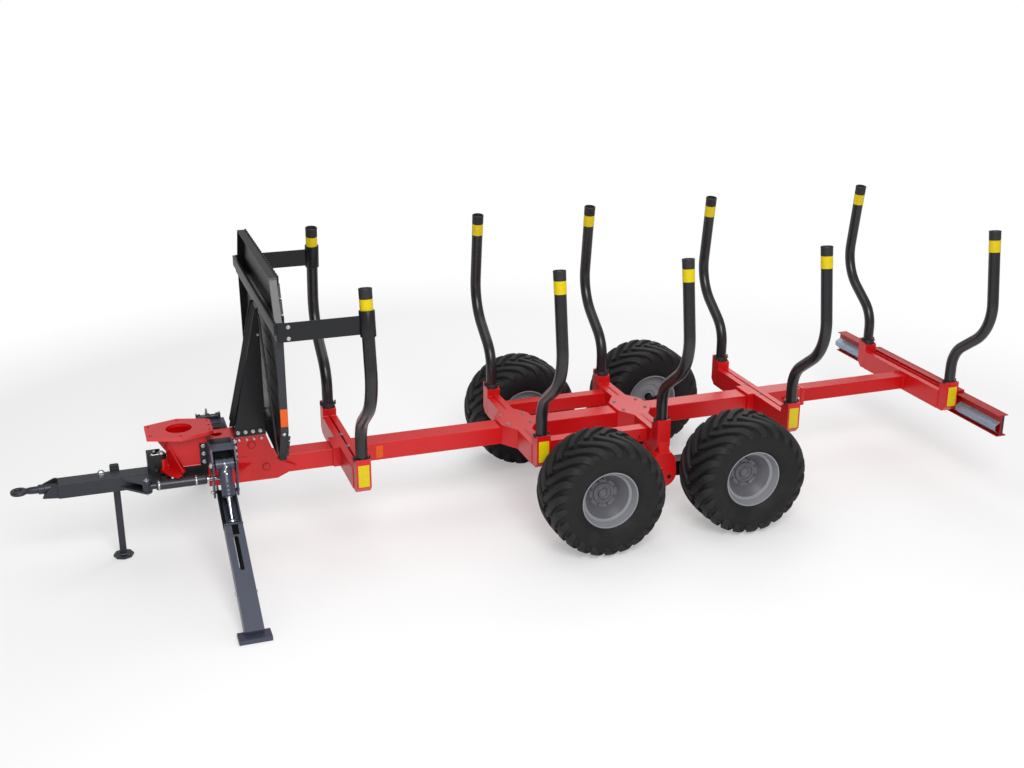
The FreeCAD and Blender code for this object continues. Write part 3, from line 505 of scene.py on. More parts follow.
bm = bmesh.new()
for name in ("bolster_2", "bolster_3"):
    x = bolster_x[name]
    block(bm, (x - 0.0070, -0.549, deck_z - 0.020), (x + 0.0030, 0.549, deck_z - 0.0006), 0.0012)
    block(bm, (x + 0.0042, -0.549, deck_z - 0.020), (x + 0.0070, 0.549, deck_z - 0.0006), 0.0008)
lay_out("bolster_seams", bm, "frame", "red_paint", red_enamel)


def box_welds(bm, x, side):
    """Beads where a socket box meets its bolster and along its outer corners."""
    inner = SOCKET_Y - SOCKET_HALF
    for dx in (-SOCKET_HALF - 0.001, SOCKET_HALF + 0.001):
        side_weld(bm, side, (x + dx, inner, 0.60), (x + dx, inner, deck_z - 0.004))
    top = deck_z + 0.001
    for start, end in ((-SOCKET_HALF, -0.010), (0.010, SOCKET_HALF)):
        side_weld(bm, side, (x + start, inner - 0.001, top), (x + end, inner - 0.001, top))


def on_bolster_ends(name, build, slot, material):
    """Builds a detail at both ends of every bolster, one piece for each body that carries them."""
    for label, bolsters, body in CARRIED:
        bm = bmesh.new()
        for bolster in bolsters:
            for side in (-1, 1):
                build(bm, bolster_x[bolster], side)
        lay_out(label + name, bm, body, slot, material)


on_bolster_ends("_socket_welds", box_welds, "red_paint", red_enamel)

bm = bmesh.new()
for name in BOLSTERS[:4]:
    for side in (-1, 1):
        x = bolster_x[name] - 0.061
        side_weld(bm, side, (x, 0.089, 0.60), (x, 0.089, 0.73), 0.005)
lay_out("bolster_to_beam_welds", bm, "frame", "red_paint", red_enamel)


def moulded(name, main, shade, roughness=0.5, grain=420.0):
    """Moulded plastic: fine grain, slight clouding and a dusty bloom."""
    material, tree, out = blank_material(name)
    where = place(tree, "TexCoord").outputs["Object"]
    fine = noise(tree, where, grain, 3.0)
    clouds = noise(tree, where, 18.0, 4.0)
    dirt = use_effect(tree, yard_dust, Reach=1.0, Amount=0.3)["Mask"]
    base = tint(tree, calc(tree, "MULTIPLY", dirt, 0.5), tint(tree, clouds, main, shade), DUST)
    rough = calc(tree, "MULTIPLY_ADD", fine, 0.18, roughness)
    surface(tree, out, base, rough, (fine, 0.25, 0.0003))
    return material


black_plastic = moulded("black plastic", colour(34, 34, 36), colour(26, 26, 28))
STAKE_RADIUS = 0.0445
SOCKET_INNER_TOP = 0.812
SOCKET_OUTER_TOP = 0.855


def stake_bushing(bm, x, side):
    """Black bushing in a socket's mouth: sloping flange, ring and two lifting tabs."""
    inner, outer = SOCKET_Y - 0.046, SOCKET_Y + 0.046
    slope = (SOCKET_OUTER_TOP - SOCKET_INNER_TOP) / (2 * SOCKET_HALF)
    low_z = SOCKET_INNER_TOP - 0.012
    high_z = low_z + slope * (outer - inner)
    flange = [(-0.0465, inner, low_z), (0.0465, inner, low_z), (0.0465, outer, high_z),
              (-0.0465, outer, high_z)]
    prism(bm, *([(x + dx, side * y, z + lift) for dx, y, z in flange] for lift in (-0.010, 0.004)))
    turn_round(bm, [(0.0, STAKE_RADIUS + 0.0005), (0.0, 0.0545), (0.050, 0.0545), (0.055, 0.052),
                    (0.055, STAKE_RADIUS + 0.0005), (0.0, STAKE_RADIUS + 0.0005)],
               (x, side * SOCKET_Y, 0.797), (0, 0, 1), 32)
    for dx in (-0.052, 0.052):
        block(bm, (x + dx - 0.012, side * SOCKET_Y - 0.018, 0.836),
              (x + dx + 0.012, side * SOCKET_Y + 0.018, 0.848), 0.002)
        turn_round(bm, [(0.0, 0.006), (0.018, 0.006), (0.020, 0.004), (0.020, 0.0)],
                   (x + dx + math.copysign(0.008, dx), side * SOCKET_Y, 0.846), (0, 0, 1), 12)


# Black discs on the third bolster's front face stand in for the cable holes: painted shade.
bm = bmesh.new()
face_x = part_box("bolster_3")[1].x
for side in (-1, 1):
    turn_round(bm, [(-0.0005, 0.0135), (0.0006, 0.0135), (0.0006, 0.0)],
               (face_x, side * 0.536, 0.687), (1, 0, 0), 24)
lay_out("bolster_cable_holes", bm, "frame", "black_paint", black_plastic)

on_bolster_ends("_stake_bushings", stake_bushing, "black_paint", black_plastic)


def prism_sheet(name, main, deep):
    """Retroreflective sheet: small prism cells under a clear skin."""
    material, tree, out = blank_material(name)
    where = place(tree, "TexCoord").outputs["Object"]
    cells = place(tree, "TexVoronoi", {"feature": "DISTANCE_TO_EDGE"}, Vector=where, Scale=380.0)
    lines = place(tree, "MapRange", Value=cells.outputs["Distance"], From_Min=0.0, From_Max=0.09)
    clouds = noise(tree, where, 30.0, 2.0)
    shade = calc(tree, "MULTIPLY", lines.outputs["Result"], calc(tree, "ADD", clouds, 0.4))
    base = tint(tree, calc(tree, "MINIMUM", shade, 1.0), deep, main)
    rough = calc(tree, "MULTIPLY_ADD", clouds, 0.15, 0.18)
    surface(tree, out, base, rough, (lines.outputs["Result"], 0.3, 0.0003), 0.3)
    return material


yellow_sheet = prism_sheet("yellow reflector sheet", colour(218, 195, 14), colour(202, 176, 10))
for label, names, body in (("frame_reflectors", ("bolster_1", "bolster_2", "bolster_4"), "frame"),
                           ("rear_reflectors", ("bolster_5",), "rear_extension")):
    bm = bmesh.new()
    for name in names:
        for side in (-1, 1):
            side_block(bm, side, (bolster_x[name] - 0.041, socket_side, 0.642),
                       (bolster_x[name] + 0.041, socket_side + 0.002, 0.812), 0.0006)
    lay_out(label, bm, body, "yellow_band", yellow_sheet)

# ---- log stakes --------------------------------------------------------------
# Round tubes bent to a lazy S and sprayed black. A plastic sleeve caps each top
# and a yellow reflective band is wrapped just below it.
graphite_black = sprayed_paint("stake black", colour(31, 31, 34), colour(25, 25, 28),
                               colour(80, 82, 88), roughness=0.24, edge_share=0.25, dust=0.12)
coat_nodes(graphite_black, "stakes_left", "stakes_right", "stakes_rear")
STAKE_KNEE = (1.049, 1.427)
STAKE_TIP = (0.938, 2.212)
lean = Vector((0, STAKE_TIP[0] - STAKE_KNEE[0], STAKE_TIP[1] - STAKE_KNEE[1])).normalized()


def below_tip(x, side, drop):
    """A point on a stake's axis below its tip, and the axis upwards."""
    up = handed(lean, side)
    return handed((x, *STAKE_TIP), side) - up * drop, up


def stake_cap(bm, x, side):
    """Plastic sleeve with a rolled lip over the end of a stake, hollow at the top."""
    foot, up = below_tip(x, side, 0.064)
    turn_round(bm, [(0.0, STAKE_RADIUS + 0.0003), (0.0, 0.0462), (0.002, 0.0466), (0.056, 0.0466),
                    (0.058, 0.0476), (0.067, 0.0476), (0.070, 0.0460), (0.070, 0.0400),
                    (0.066, 0.0385), (0.050, 0.0380), (0.050, 0.0)], foot, up, 40)


def stake_band(bm, x, side):
    """Yellow band wrapped round the stake."""
    foot, up = below_tip(x, side, 0.162)
    turn_round(bm, [(0.0, STAKE_RADIUS), (0.0, STAKE_RADIUS + 0.0016), (0.094, STAKE_RADIUS + 0.0016),
                    (0.094, STAKE_RADIUS)], foot, up, 48)


for label, names, body in CARRIED:
    caps, bands = bmesh.new(), bmesh.new()
    for name in names:
        for side in (-1, 1):
            stake_cap(caps, bolster_x[name], side)
            stake_band(bands, bolster_x[name], side)
    lay_out(label + "_stake_caps", caps, body, "black_paint", black_plastic)
    lay_out(label + "_stake_bands", bands, body, "yellow_band", yellow_sheet)

# ---- rear light beam ---------------------------------------------------------
# A red flanged channel across the tail with a galvanised strip folded in front of
# its web, a cover plate between the sockets and a black lamp behind each end.
tail_red = sprayed_paint("tail red", colour(174, 8, 12), colour(160, 6, 10), colour(196, 70, 74),
                         roughness=0.34, edge_share=0.2, dust=0.12, gloss=0.35)
coat_nodes(tail_red, "rear_light_beam")
roll_edges(0.002, "rear_light_beam")


def zinc_dipped(name):
    """Hot-dip galvanising: cool grey with pale spangle and dull patches."""
    material, tree, out = blank_material(name)
    where = place(tree, "TexCoord").outputs["Object"]
    spangle = place(tree, "TexVoronoi", Vector=where, Scale=70.0, Randomness=1.0)
    crystal = place(tree, "RGBToBW", Color=spangle.outputs["Color"]).outputs[0]
    patches = noise(tree, where, 6.0, 6.0)
    base = tint(tree, crystal, colour(142, 158, 176), colour(172, 186, 202))
    base = tint(tree, calc(tree, "MULTIPLY", patches, 0.6), base, colour(134, 150, 168))
    rough = calc(tree, "MULTIPLY_ADD", crystal, 0.18, 0.36)
    surface(tree, out, base, rough, (crystal, 0.1, 0.0004), metallic=0.75)
    return material


galvanising = zinc_dipped("hot dip galvanising")
channel_low, channel_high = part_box("rear_light_beam")
WEB_FACE = -3.755
STRIP_THICKNESS = 0.003
strip_section = [(0.0, 0.572), (0.047, 0.612), (0.047, 0.651), (0.0, 0.680)]


def folded_strip(bm, y0, y1):
    """Sheet folded to a shallow hat section along the free end of the light beam."""
    rings = []
    for y in (y0, y1):
        outer = [bm.verts.new((WEB_FACE + dx, y, z)) for dx, z in strip_section]
        inner = [bm.verts.new((WEB_FACE + dx - STRIP_THICKNESS, y, z))
                 for dx, z in reversed(strip_section)]
        rings.append(outer + inner)
    band(bm, *rings)


bm = bmesh.new()
folded_strip(bm, socket_side + 0.012, channel_high.y - 0.002)
folded_strip(bm, -channel_high.y + 0.002, -socket_side - 0.012)
lay_out("light_beam_strips", bm, "rear_extension", "galvanised", galvanising, sharp=20)

bm = bmesh.new()
for side in (-1, 1):
    for y in (0.74, 0.90, 1.06):
        turn_round(bm, [(0.0, 0.006), (0.001, 0.006), (0.0015, 0.0)],
                   (WEB_FACE + 0.0468, side * y, 0.632), (1, 0, 0), 16)
lay_out("light_beam_strip_rivets", bm, "rear_extension", "zinc", dull_steel)

COVER_HALF = 0.625
COVER_TOP = 0.757
bm = bmesh.new()
block(bm, (channel_low.x, -COVER_HALF, channel_high.z), (-3.738, COVER_HALF, COVER_TOP), 0.003)
lay_out("light_beam_cover_plate", bm, "rear_extension", "red_paint", tail_red)

bm = bmesh.new()
for side in (-1, 1):
    side_block(bm, side, (-3.787, channel_high.y - 0.028, channel_low.z + 0.008),
               (-3.7635, channel_high.y - 0.001, channel_high.z - 0.008), 0.001)
lay_out("lamp_end_rubbers", bm, "rear_extension", "black_paint", black_plastic)

lamp_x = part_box("rear_lamps")[0].x
coat_nodes(black_plastic, "rear_lamps")
roll_edges(0.003, "rear_lamps")
red_lens = moulded("red lamp lens", colour(176, 14, 18), colour(150, 8, 14), 0.15, 600.0)
amber_lens = moulded("amber lamp lens", colour(236, 120, 18), colour(214, 96, 10), 0.15, 600.0)
bm = bmesh.new()
for side in (-1, 1):
    for start, end, shade in ((0.936, 1.004, 0), (1.008, 1.048, 1), (1.052, 1.094, 0)):
        side_block(bm, side, (lamp_x + 0.0005, start, 0.606), (lamp_x + 0.006, end, 0.690), 0.002, shade)
        for step in range(int((end - start) / 0.008)):
            y = side * (start + 0.006 + step * 0.008)
            block(bm, (lamp_x, y - 0.0012, 0.610), (lamp_x + 0.002, y + 0.0012, 0.686), 0.0, shade)
lay_out("rear_lamp_lenses", bm, "rear_extension", "orange_reflector", red_lens, amber_lens)

# ---- bogie subframe and hangers ----------------------------------------------
# Two rails tie the middle bolsters together. Thick cheeks below the third
# bolster hold the cross pin that both rocking beams swing on.
coat_nodes(red_enamel, "subframe_rails", "bogie_hangers", "hanger_bridges")
roll_edges(0.005, "subframe_rails", "bogie_hangers")
pin_low, pin_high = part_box("bogie_axle")
pivot_x = (pin_low.x + pin_high.x) / 2
pivot_z = (pin_low.z + pin_high.z) / 2
black_paint = sprayed_paint("black chassis paint", colour(21, 22, 25), colour(16, 17, 20),
                            colour(78, 80, 86), roughness=0.34, edge_share=0.25, dust=0.15, gloss=0.35)
coat_nodes(black_paint, "bogie_axle", "bogie_beam_left", "bogie_beam_right")
roll_edges(0.008, "bogie_beam_left", "bogie_beam_right")

rails_low, rails_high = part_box("subframe_rails")
bm = bmesh.new()
for side in (-1, 1):
    for y in (0.375, 0.475):
        for x in (rails_low.x + 0.002, rails_high.x - 0.002):
            side_weld(bm, side, (x, y, 0.625), (x, y, 0.726), 0.005)
    for x in (rails_low.x + 0.002, rails_high.x - 0.002):
        side_weld(bm, side, (x, 0.378, 0.731), (x, 0.472, 0.731), 0.005)
    for x in (pivot_x - 0.0575, pivot_x + 0.0575):
        side_weld(bm, side, (x, 0.615, 0.589), (x, 0.660, 0.589), 0.005)
    for x in (pivot_x - 0.041, pivot_x + 0.041):
        side_weld(bm, side, (x, 0.661, 0.668), (x, 0.691, 0.560))
lay_out("subframe_welds", bm, "frame", "red_paint", red_enamel)

bm = bmesh.new()
for side in (-1, 1):
    face = Vector((pivot_x, side * pin_high.y, pivot_z))
    turn_round(bm, [(0.0, 0.068), (0.004, 0.068), (0.006, 0.066), (0.006, 0.0)], face, (0, side, 0), 48)
    for dx, dz, radius in ((-0.042, -0.022, 0.018), (0.020, 0.046, 0.005)):
        spot = face + Vector((dx, side * 0.0061, dz))
        turn_round(bm, [(0.0, radius), (0.0006, radius), (0.0006, 0.0)], spot, (0, side, 0), 24, 1)
lay_out("bogie_pin_covers", bm, "frame", "red_paint", red_enamel, black_paint)

# ---- wheels ------------------------------------------------------------------
# Wide flotation tyres with long chevron lugs that wrap over the shoulder, on
# grey pressed steel rims with a rolled lip, a dished disc and eight wheel nuts.
WHEEL_RADIUS = 0.466
TREAD_SKIN = 0.444
carcass_section = [(0.0, TREAD_SKIN), (0.05, 0.4436), (0.10, 0.4415), (0.15, 0.4365), (0.185, 0.4275),
                   (0.207, 0.4150), (0.221, 0.3985), (0.2295, 0.3800), (0.2340, 0.3600),
                   (0.2355, 0.3400), (0.2345, 0.3200), (0.2310, 0.3000), (0.2255, 0.2800),
                   (0.2190, 0.2640), (0.2130, 0.2560), (0.2125, 0.2525), (0.2085, 0.2480),
                   (0.2030, 0.2400), (0.1960, 0.2310), (0.1915, 0.2262), (0.1830, 0.2262)]


runs = [0.0]
for (out_a, radius_a), (out_b, radius_b) in zip(carcass_section, carcass_section[1:]):
    runs.append(runs[-1] + math.hypot(out_b - out_a, radius_b - radius_a))


def carcass_at(run):
    """Point (out, radius) and outward normal on the carcass, by distance from the middle."""
    run = min(max(run, 0.0), runs[-1] - 1e-6)
    index = max(i for i in range(len(runs) - 1) if runs[i] <= run)
    share = (run - runs[index]) / (runs[index + 1] - runs[index])
    (out_a, radius_a), (out_b, radius_b) = carcass_section[index], carcass_section[index + 1]
    along = Vector((out_b - out_a, radius_b - radius_a)).normalized()
    if 0 < index and index < len(runs) - 2:
        before, after = carcass_section[index - 1], carcass_section[index + 2]
        first = Vector((out_b - before[0], radius_b - before[1])).normalized()
        second = Vector((after[0] - out_a, after[1] - radius_a)).normalized()
        along = first.lerp(second, share).normalized()
    spot = (out_a + (out_b - out_a) * share, radius_a + (radius_b - radius_a) * share)
    return spot, (-along.y, along.x)


LUG_PATH = [(0.004, 0.0), (0.045, 3.2), (0.080, 7.0), (0.120, 13.0), (0.160, 19.5), (0.195, 25.0),
            (0.225, 28.6), (0.250, 30.2), (0.268, 30.9)]
LUG_HEIGHT = [(0.0, 0.022), (0.150, 0.022), (0.190, 0.0220), (0.225, 0.0200), (0.250, 0.0130),
              (0.268, 0.0030)]
LUG_WIDTH = [(0.0, 0.040), (0.100, 0.044), (0.200, 0.052), (0.245, 0.050), (0.268, 0.038)]
LUGS = 22
STATIONS = 22


def between(table, value):
    """Reads a table of (position, value) pairs, straight between its entries."""
    for (a, value_a), (b, value_b) in zip(table, table[1:]):
        if value <= b:
            return value_a + (value_b - value_a) * max(0.0, value - a) / (b - a)
    return table[-1][1]


def wheel_point(hub, side, out, radius, angle):
    """A point of a wheel from its distance out, radius and angle round the axle."""
    return Vector((hub.x + radius * math.cos(angle), hub.y + side * out,
                   hub.z + radius * math.sin(angle)))


def tread_lug(bm, hub, side, row, angle):
    """One chevron lug laid over the carcass on one row, with sloping flanks."""
    last = LUG_PATH[-1][0]
    rings = []
    for step in range(STATIONS + 1):
        run = LUG_PATH[0][0] + (last - LUG_PATH[0][0]) * step / STATIONS
        sweep = math.radians(between(LUG_PATH, run))
        ahead = math.radians(between(LUG_PATH, min(run + 0.004, last)))
        (out, radius), normal = carcass_at(run)
        turn_per_run = (ahead - sweep) / 0.004 * radius if run + 0.004 < last else 0.0
        scale = math.hypot(1.0, turn_per_run)
        half = between(LUG_WIDTH, run) / 2
        height = between(LUG_HEIGHT, run)
        ring = []
        for share, lift in ((-1.14, -0.003), (-0.98, height * 0.84), (-0.90, height),
                            (0.0, height + 0.0004), (0.90, height), (0.98, height * 0.84),
                            (1.14, -0.003)):
            shift = share * half
            moved = min(max(run - shift * turn_per_run / scale, 0.0005), runs[-1])
            (out, radius), normal = carcass_at(moved)
            out += normal[0] * lift
            radius = min(radius + normal[1] * lift, WHEEL_RADIUS)
            place_angle = angle + sweep + shift / scale / radius
            ring.append(bm.verts.new(wheel_point(hub, side, row * out, radius, place_angle)))
        rings.append(ring)
    for low, high in zip(rings, rings[1:]):
        for a, b in zip(range(6), range(1, 7)):
            bm.faces.new([low[a], low[b], high[b], high[a]]).material_index = 2
    bm.faces.new(rings[0]).material_index = 2
    bm.faces.new(list(reversed(rings[-1]))).material_index = 2


TYRE_SIDES = 120
BEAD_RADIUS = 0.2175


def tyre_carcass(bm, hub, side):
    """Casing from bead to bead, with a few moulded ribs on each wall."""

    def hoop(out, radius):
        """Ring of corners round the tyre."""
        return [bm.verts.new(wheel_point(hub, side, out, radius, 2 * math.pi * step / TYRE_SIDES))
                for step in range(TYRE_SIDES)]

    section = []
    for out, radius in reversed(carcass_section[1:]):
        section.append((-out, radius))
    section += carcass_section
    rings = []
    for out, radius in section:
        ribs = 0.0
        for rib in (0.3035, 0.2725, 0.2585):
            ribs += 0.0022 * math.exp(-((radius - rib) / 0.0022) ** 2)
        out += math.copysign(ribs, out)
        rings.append(hoop(out, radius))
    for number, (low, high) in enumerate(zip(rings, rings[1:])):
        # Faces across the tread take the darker groove rubber: painted shade between the lugs.
        tread = 0.411 < min(section[number][1], section[number + 1][1])
        band(bm, low, high, int(tread))
    for ring, out in ((rings[0], -0.150), (rings[-1], 0.150)):
        band(bm, ring, hoop(out, BEAD_RADIUS))


def tyre_compound(name, main, shade):
    """Black tyre rubber: matt, faintly mottled, with pale edges that are partly rubbed and partly a painted
    highlight, and a little dust low down.
    """
    material, tree, out = blank_material(name)
    where = place(tree, "TexCoord").outputs["Object"]
    fine = noise(tree, where, 650.0, 3.0)
    clouds = noise(tree, where, 14.0, 6.0, 0.65)
    dirt = use_effect(tree, yard_dust, Reach=0.9, Amount=0.20)["Mask"]
    edges = use_effect(tree, worn_and_highlit_edges, Radius=0.005, Break_Up=90.0)["Mask"]
    base = tint(tree, clouds, main, shade)
    base = tint(tree, calc(tree, "MULTIPLY", edges, 0.30), base, colour(54, 54, 56))
    base = tint(tree, calc(tree, "MULTIPLY", dirt, 0.35), base, DUST)
    rough = calc(tree, "MULTIPLY_ADD", fine, 0.16, 0.56)
    surface(tree, out, base, rough, (fine, 0.3, 0.0005), 0.28)
    return material


# Lugs take a lighter rubber as painted light on them; the tread floor between them takes a darker one as
# painted shade.
rubber = tyre_compound("tyre rubber", colour(25, 25, 26), colour(19, 19, 20))
lit_lug_rubber = tyre_compound("tread lug rubber lightened as painted light", colour(35, 35, 36), colour(28, 28, 29))
groove_shade_rubber = tyre_compound("tread groove rubber darkened as painted shade", colour(17, 17, 18), colour(12, 12, 13))
rim_silver = sprayed_paint("rim grey", colour(142, 143, 148), colour(124, 126, 132),
                           colour(184, 186, 190), roughness=0.32, edge_share=0.4, dust=0.25)
# The disc grey is a darker copy of the rim grey: painted shade on the disc and hub.
disc_shade_grey = sprayed_paint("wheel disc grey darkened as painted shade", colour(98, 98, 104), colour(85, 85, 91),
                          colour(150, 152, 156), roughness=0.34, edge_share=0.35, dust=0.25)
nut_grey = sprayed_paint("painted nuts", colour(84, 84, 90), colour(72, 72, 78),
                         colour(124, 126, 132), roughness=0.36, edge_share=0.4, dust=0.25)
rim_front_face = [(0.1830, 0.2256), (0.1885, 0.2256), (0.1900, 0.2240), (0.1900, 0.2170), (0.1885, 0.2145),
                  (0.1830, 0.2118), (0.1700, 0.2085), (0.1600, 0.2040), (0.1520, 0.1990), (0.1380, 0.1985),
                  (0.1330, 0.1960), (0.1305, 0.1900), (0.1285, 0.1830), (0.1240, 0.1760), (0.1140, 0.1670),
                  (0.0950, 0.1510), (0.0700, 0.1300), (0.0500, 0.1180), (0.0400, 0.1130), (0.0365, 0.1080),
                  (0.0355, 0.0840), (0.0375, 0.0825), (0.0470, 0.0800), (0.0500, 0.0770), (0.0510, 0.0710),
                  (0.0490, 0.0660), (0.0420, 0.0630), (0.0370, 0.0600), (0.0360, 0.0470), (0.0400, 0.0420),
                  (0.0540, 0.0400), (0.0580, 0.0370), (0.0585, 0.0310), (0.0550, 0.0270), (0.0480, 0.0245),
                  (0.0470, 0.0)]
rim_back = [(0.1830, 0.2256), (0.1600, 0.2110), (-0.1600, 0.2110), (-0.1830, 0.2256), (-0.1900, 0.2256),
            (-0.1900, 0.2150), (-0.1650, 0.2050), (-0.1320, 0.2030), (-0.1220, 0.1960), (-0.1150, 0.1820),
            (-0.1120, 0.1500), (-0.1090, 0.1180), (-0.1010, 0.1120), (-0.1010, 0.1040), (-0.1090, 0.0980),
            (-0.1090, 0.0640), (-0.0980, 0.0600), (-0.0980, 0.0540), (-0.1060, 0.0500), (-0.1060, 0.0360),
            (-0.0400, 0.0350)]
NUTS = 8
NUT_CIRCLE = 0.1000


def rim_and_hub(bm, hub, side):
    """Pressed rim with its dished disc, ringed hub, painted wheel nuts and tyre valve."""
    axle = (0, side, 0)
    turn_round(bm, rim_front_face[:14], hub, axle, 96)
    # From the disc inwards the rim takes the darker grey as painted shade.
    turn_round(bm, rim_front_face[13:], hub, axle, 96, 2)
    turn_round(bm, rim_back, hub, axle, 72)
    for step in range(NUTS):
        angle = 2 * math.pi * (step + 0.5) / NUTS
        spot = wheel_point(hub, side, 0.0355, NUT_CIRCLE, angle)
        hex_bolt(bm, spot, axle, 0.015, 0.010, False, 3)
        turn_round(bm, [(0.009, 0.0045), (0.014, 0.0045), (0.0155, 0.0030), (0.0155, 0.0)],
                   spot, axle, 12, 3)
    valve = wheel_point(hub, side, 0.140, 0.192, math.radians(72))
    stem = wheel_point(hub, side, 0.176, 0.180, math.radians(72)) - valve
    turn_round(bm, [(0.0, 0.006), (0.020, 0.0055), (0.021, 0.004), (0.034, 0.004), (0.036, 0.003),
                    (0.036, 0.0)], valve, stem, 12, 1)


for axle in ("front", "rear"):
    for side, hand in ((1, "left"), (-1, "right")):
        low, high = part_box("tyre_%s_%s" % (axle, hand))
        hub = (low + high) / 2
        body = "wheel_%s_%s" % (axle, hand)
        bm = bmesh.new()
        tyre_carcass(bm, hub, side)
        for row, offset in ((1, 0.0), (-1, math.pi / LUGS)):
            for lug in range(LUGS):
                tread_lug(bm, hub, side, row, 2 * math.pi * lug / LUGS + offset)
        tyre = lay_out("flotation_tyre_%s_%s" % (axle, hand), bm, body, "tyre_rubber", rubber,
                       groove_shade_rubber, lit_lug_rubber, sharp=32)
        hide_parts("tyre_%s_%s" % (axle, hand))
        bm = bmesh.new()
        rim_and_hub(bm, hub, side)
        rim = lay_out("steel_rim_%s_%s" % (axle, hand), bm, body, "rim_paint", rim_silver,
                      black_plastic, disc_shade_grey, nut_grey, sharp=30)
        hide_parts("rim_%s_%s" % (axle, hand))

# ---- front frame and crane seat ----------------------------------------------
# Thick side plates, a deck with a drain hole, a drilled seat plate for a crane
# on a box column, and the tongue that the drawbar swings on. Welded and sprayed red.
coat_nodes(red_enamel, "front_frame_sides", "crane_mount_column", "pivot_nose", "steering_lugs")
# The seat plate and deck take a lighter, glossier copy of the frame red: painted light on these top plates.
lit_seat_red = sprayed_paint("crane seat red lightened as painted light", colour(216, 22, 28), colour(204, 16, 22), colour(226, 96, 98),
                         roughness=0.30, edge_share=0.25, dust=0.1, gloss=1.0)
coat_nodes(lit_seat_red, "crane_mount_plate", "front_frame_deck")
roll_edges(0.003, "front_frame_sides", "front_frame_deck", "pivot_nose", "steering_lugs")
roll_edges(0.004, "crane_mount_column")
coat_nodes(black_paint, "pivot_block")
roll_edges(0.005, "pivot_block")

side_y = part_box("front_frame_sides")[1].y
deep_red = sprayed_paint("red in shaded recesses", colour(122, 3, 6), colour(98, 2, 4),
                         colour(150, 20, 22), roughness=0.55, edge_share=0.1, dust=0.1, gloss=0.15)
bm = bmesh.new()
for side in (-1, 1):
    for x, z in ((2.121, 0.856), (2.022, 0.668)):
        spot, out = (x, side * side_y, z), (0, side, 0)
        # Each boss sits on a thin ring of the darker tail red: painted shade in the groove round the boss.
        turn_round(bm, [(0.0, 0.0340), (0.0010, 0.0335), (0.0010, 0.0)], spot, out, 40, 1)
        turn_round(bm, [(0.0010, 0.0230), (0.0040, 0.0225), (0.0050, 0.0205), (0.0050, 0.0060),
                        (0.0020, 0.0050), (0.0020, 0.0)], spot, out, 40)
lay_out("side_plate_bosses", bm, "frame", "red_paint", red_enamel, tail_red)

wedge_foot = [(2.238, side_y, 0.640), (2.238, side_y, 0.730), (2.128, side_y, 0.712)]
wedge_y = side_y + 0.062
wedge_ridge = [(2.238, wedge_y, 0.668), (2.238, wedge_y, 0.700), (2.226, wedge_y, 0.694)]
bm = bmesh.new()
for side in (-1, 1):
    prism(bm, *([handed(point, side) for point in loop] for loop in (wedge_foot, wedge_ridge)))
    side_block(bm, side, (2.150, side_y - 0.001, 0.764), (2.206, side_y + 0.002, 0.772), 0.0008, 1)
lay_out("side_plate_wedges", bm, "frame", "red_paint", red_enamel, deep_red, sharp=15)

bm = bmesh.new()
for side in (-1, 1):
    side_weld(bm, side, (2.447, side_y - 0.006, 0.936), (2.447, side_y - 0.006, 0.986))
    side_weld(bm, side, (2.447, side_y + 0.001, 0.752), (2.626, side_y + 0.001, 0.752))
    side_weld(bm, side, (2.451, side_y + 0.001, 0.986), (2.740, side_y + 0.001, 0.986), 0.005)
    side_weld(bm, side, (1.8, side_y + 0.001, 0.643), (1.938, side_y + 0.001, 0.716))
    side_weld(bm, side, (2.640, 0.014, 0.738), (2.722, 0.014, 0.738))
    side_weld(bm, side, (2.716, 0.022, 0.742), (2.640, 0.180, 0.742))
lay_out("front_frame_welds", bm, "frame", "red_paint", red_enamel)

seat_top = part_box("crane_mount_plate")[1].z
SEAT_X = 2.6265
SEAT_HOLE = 0.0946
DECK_HOLE_X = 2.360
DECK_TOP = 0.934
# Discs at the foot of the crane hole, the seat holes and the deck's drain hole are painted shade: dark red
# inside each hole.
bm = bmesh.new()
turn_round(bm, [(-0.0275, 0.0), (-0.0275, SEAT_HOLE), (-0.0255, SEAT_HOLE), (-0.0265, 0.0)],
           (SEAT_X, 0, seat_top), (0, 0, 1), 64, 2)
seat_holes = [(-0.217, 0.0), (0.2115, 0.093), (0.2115, -0.093), (-0.2115, 0.093), (-0.2115, -0.093),
              (0.0, 0.162), (0.0, -0.162)]
for dx, dy in seat_holes:
    turn_round(bm, [(-0.012, 0.0112), (-0.010, 0.0112), (-0.010, 0.0)],
               (SEAT_X + dx, dy, seat_top), (0, 0, 1), 24, 1)
turn_round(bm, [(-0.030, 0.0405), (-0.028, 0.0405), (-0.028, 0.0)],
           (DECK_HOLE_X, 0, DECK_TOP), (0, 0, 1), 40, 1)
hole_shade_red = sprayed_paint("red darkened as painted shade at the foot of the crane hole", colour(176, 0, 2), colour(150, 0, 2),
                         colour(190, 14, 16), roughness=0.75, edge_share=0.05, dust=0.0, gloss=0.02)
lay_out("crane_seat_hole_shade", bm, "frame", "red_paint", red_enamel, deep_red, hole_shade_red)

bm = bmesh.new()
block(bm, (2.612, -0.088, 0.607), (2.694, 0.088, 0.706), 0.003)
lay_out("nose_hinge_backing", bm, "frame", "black_paint", black_paint)

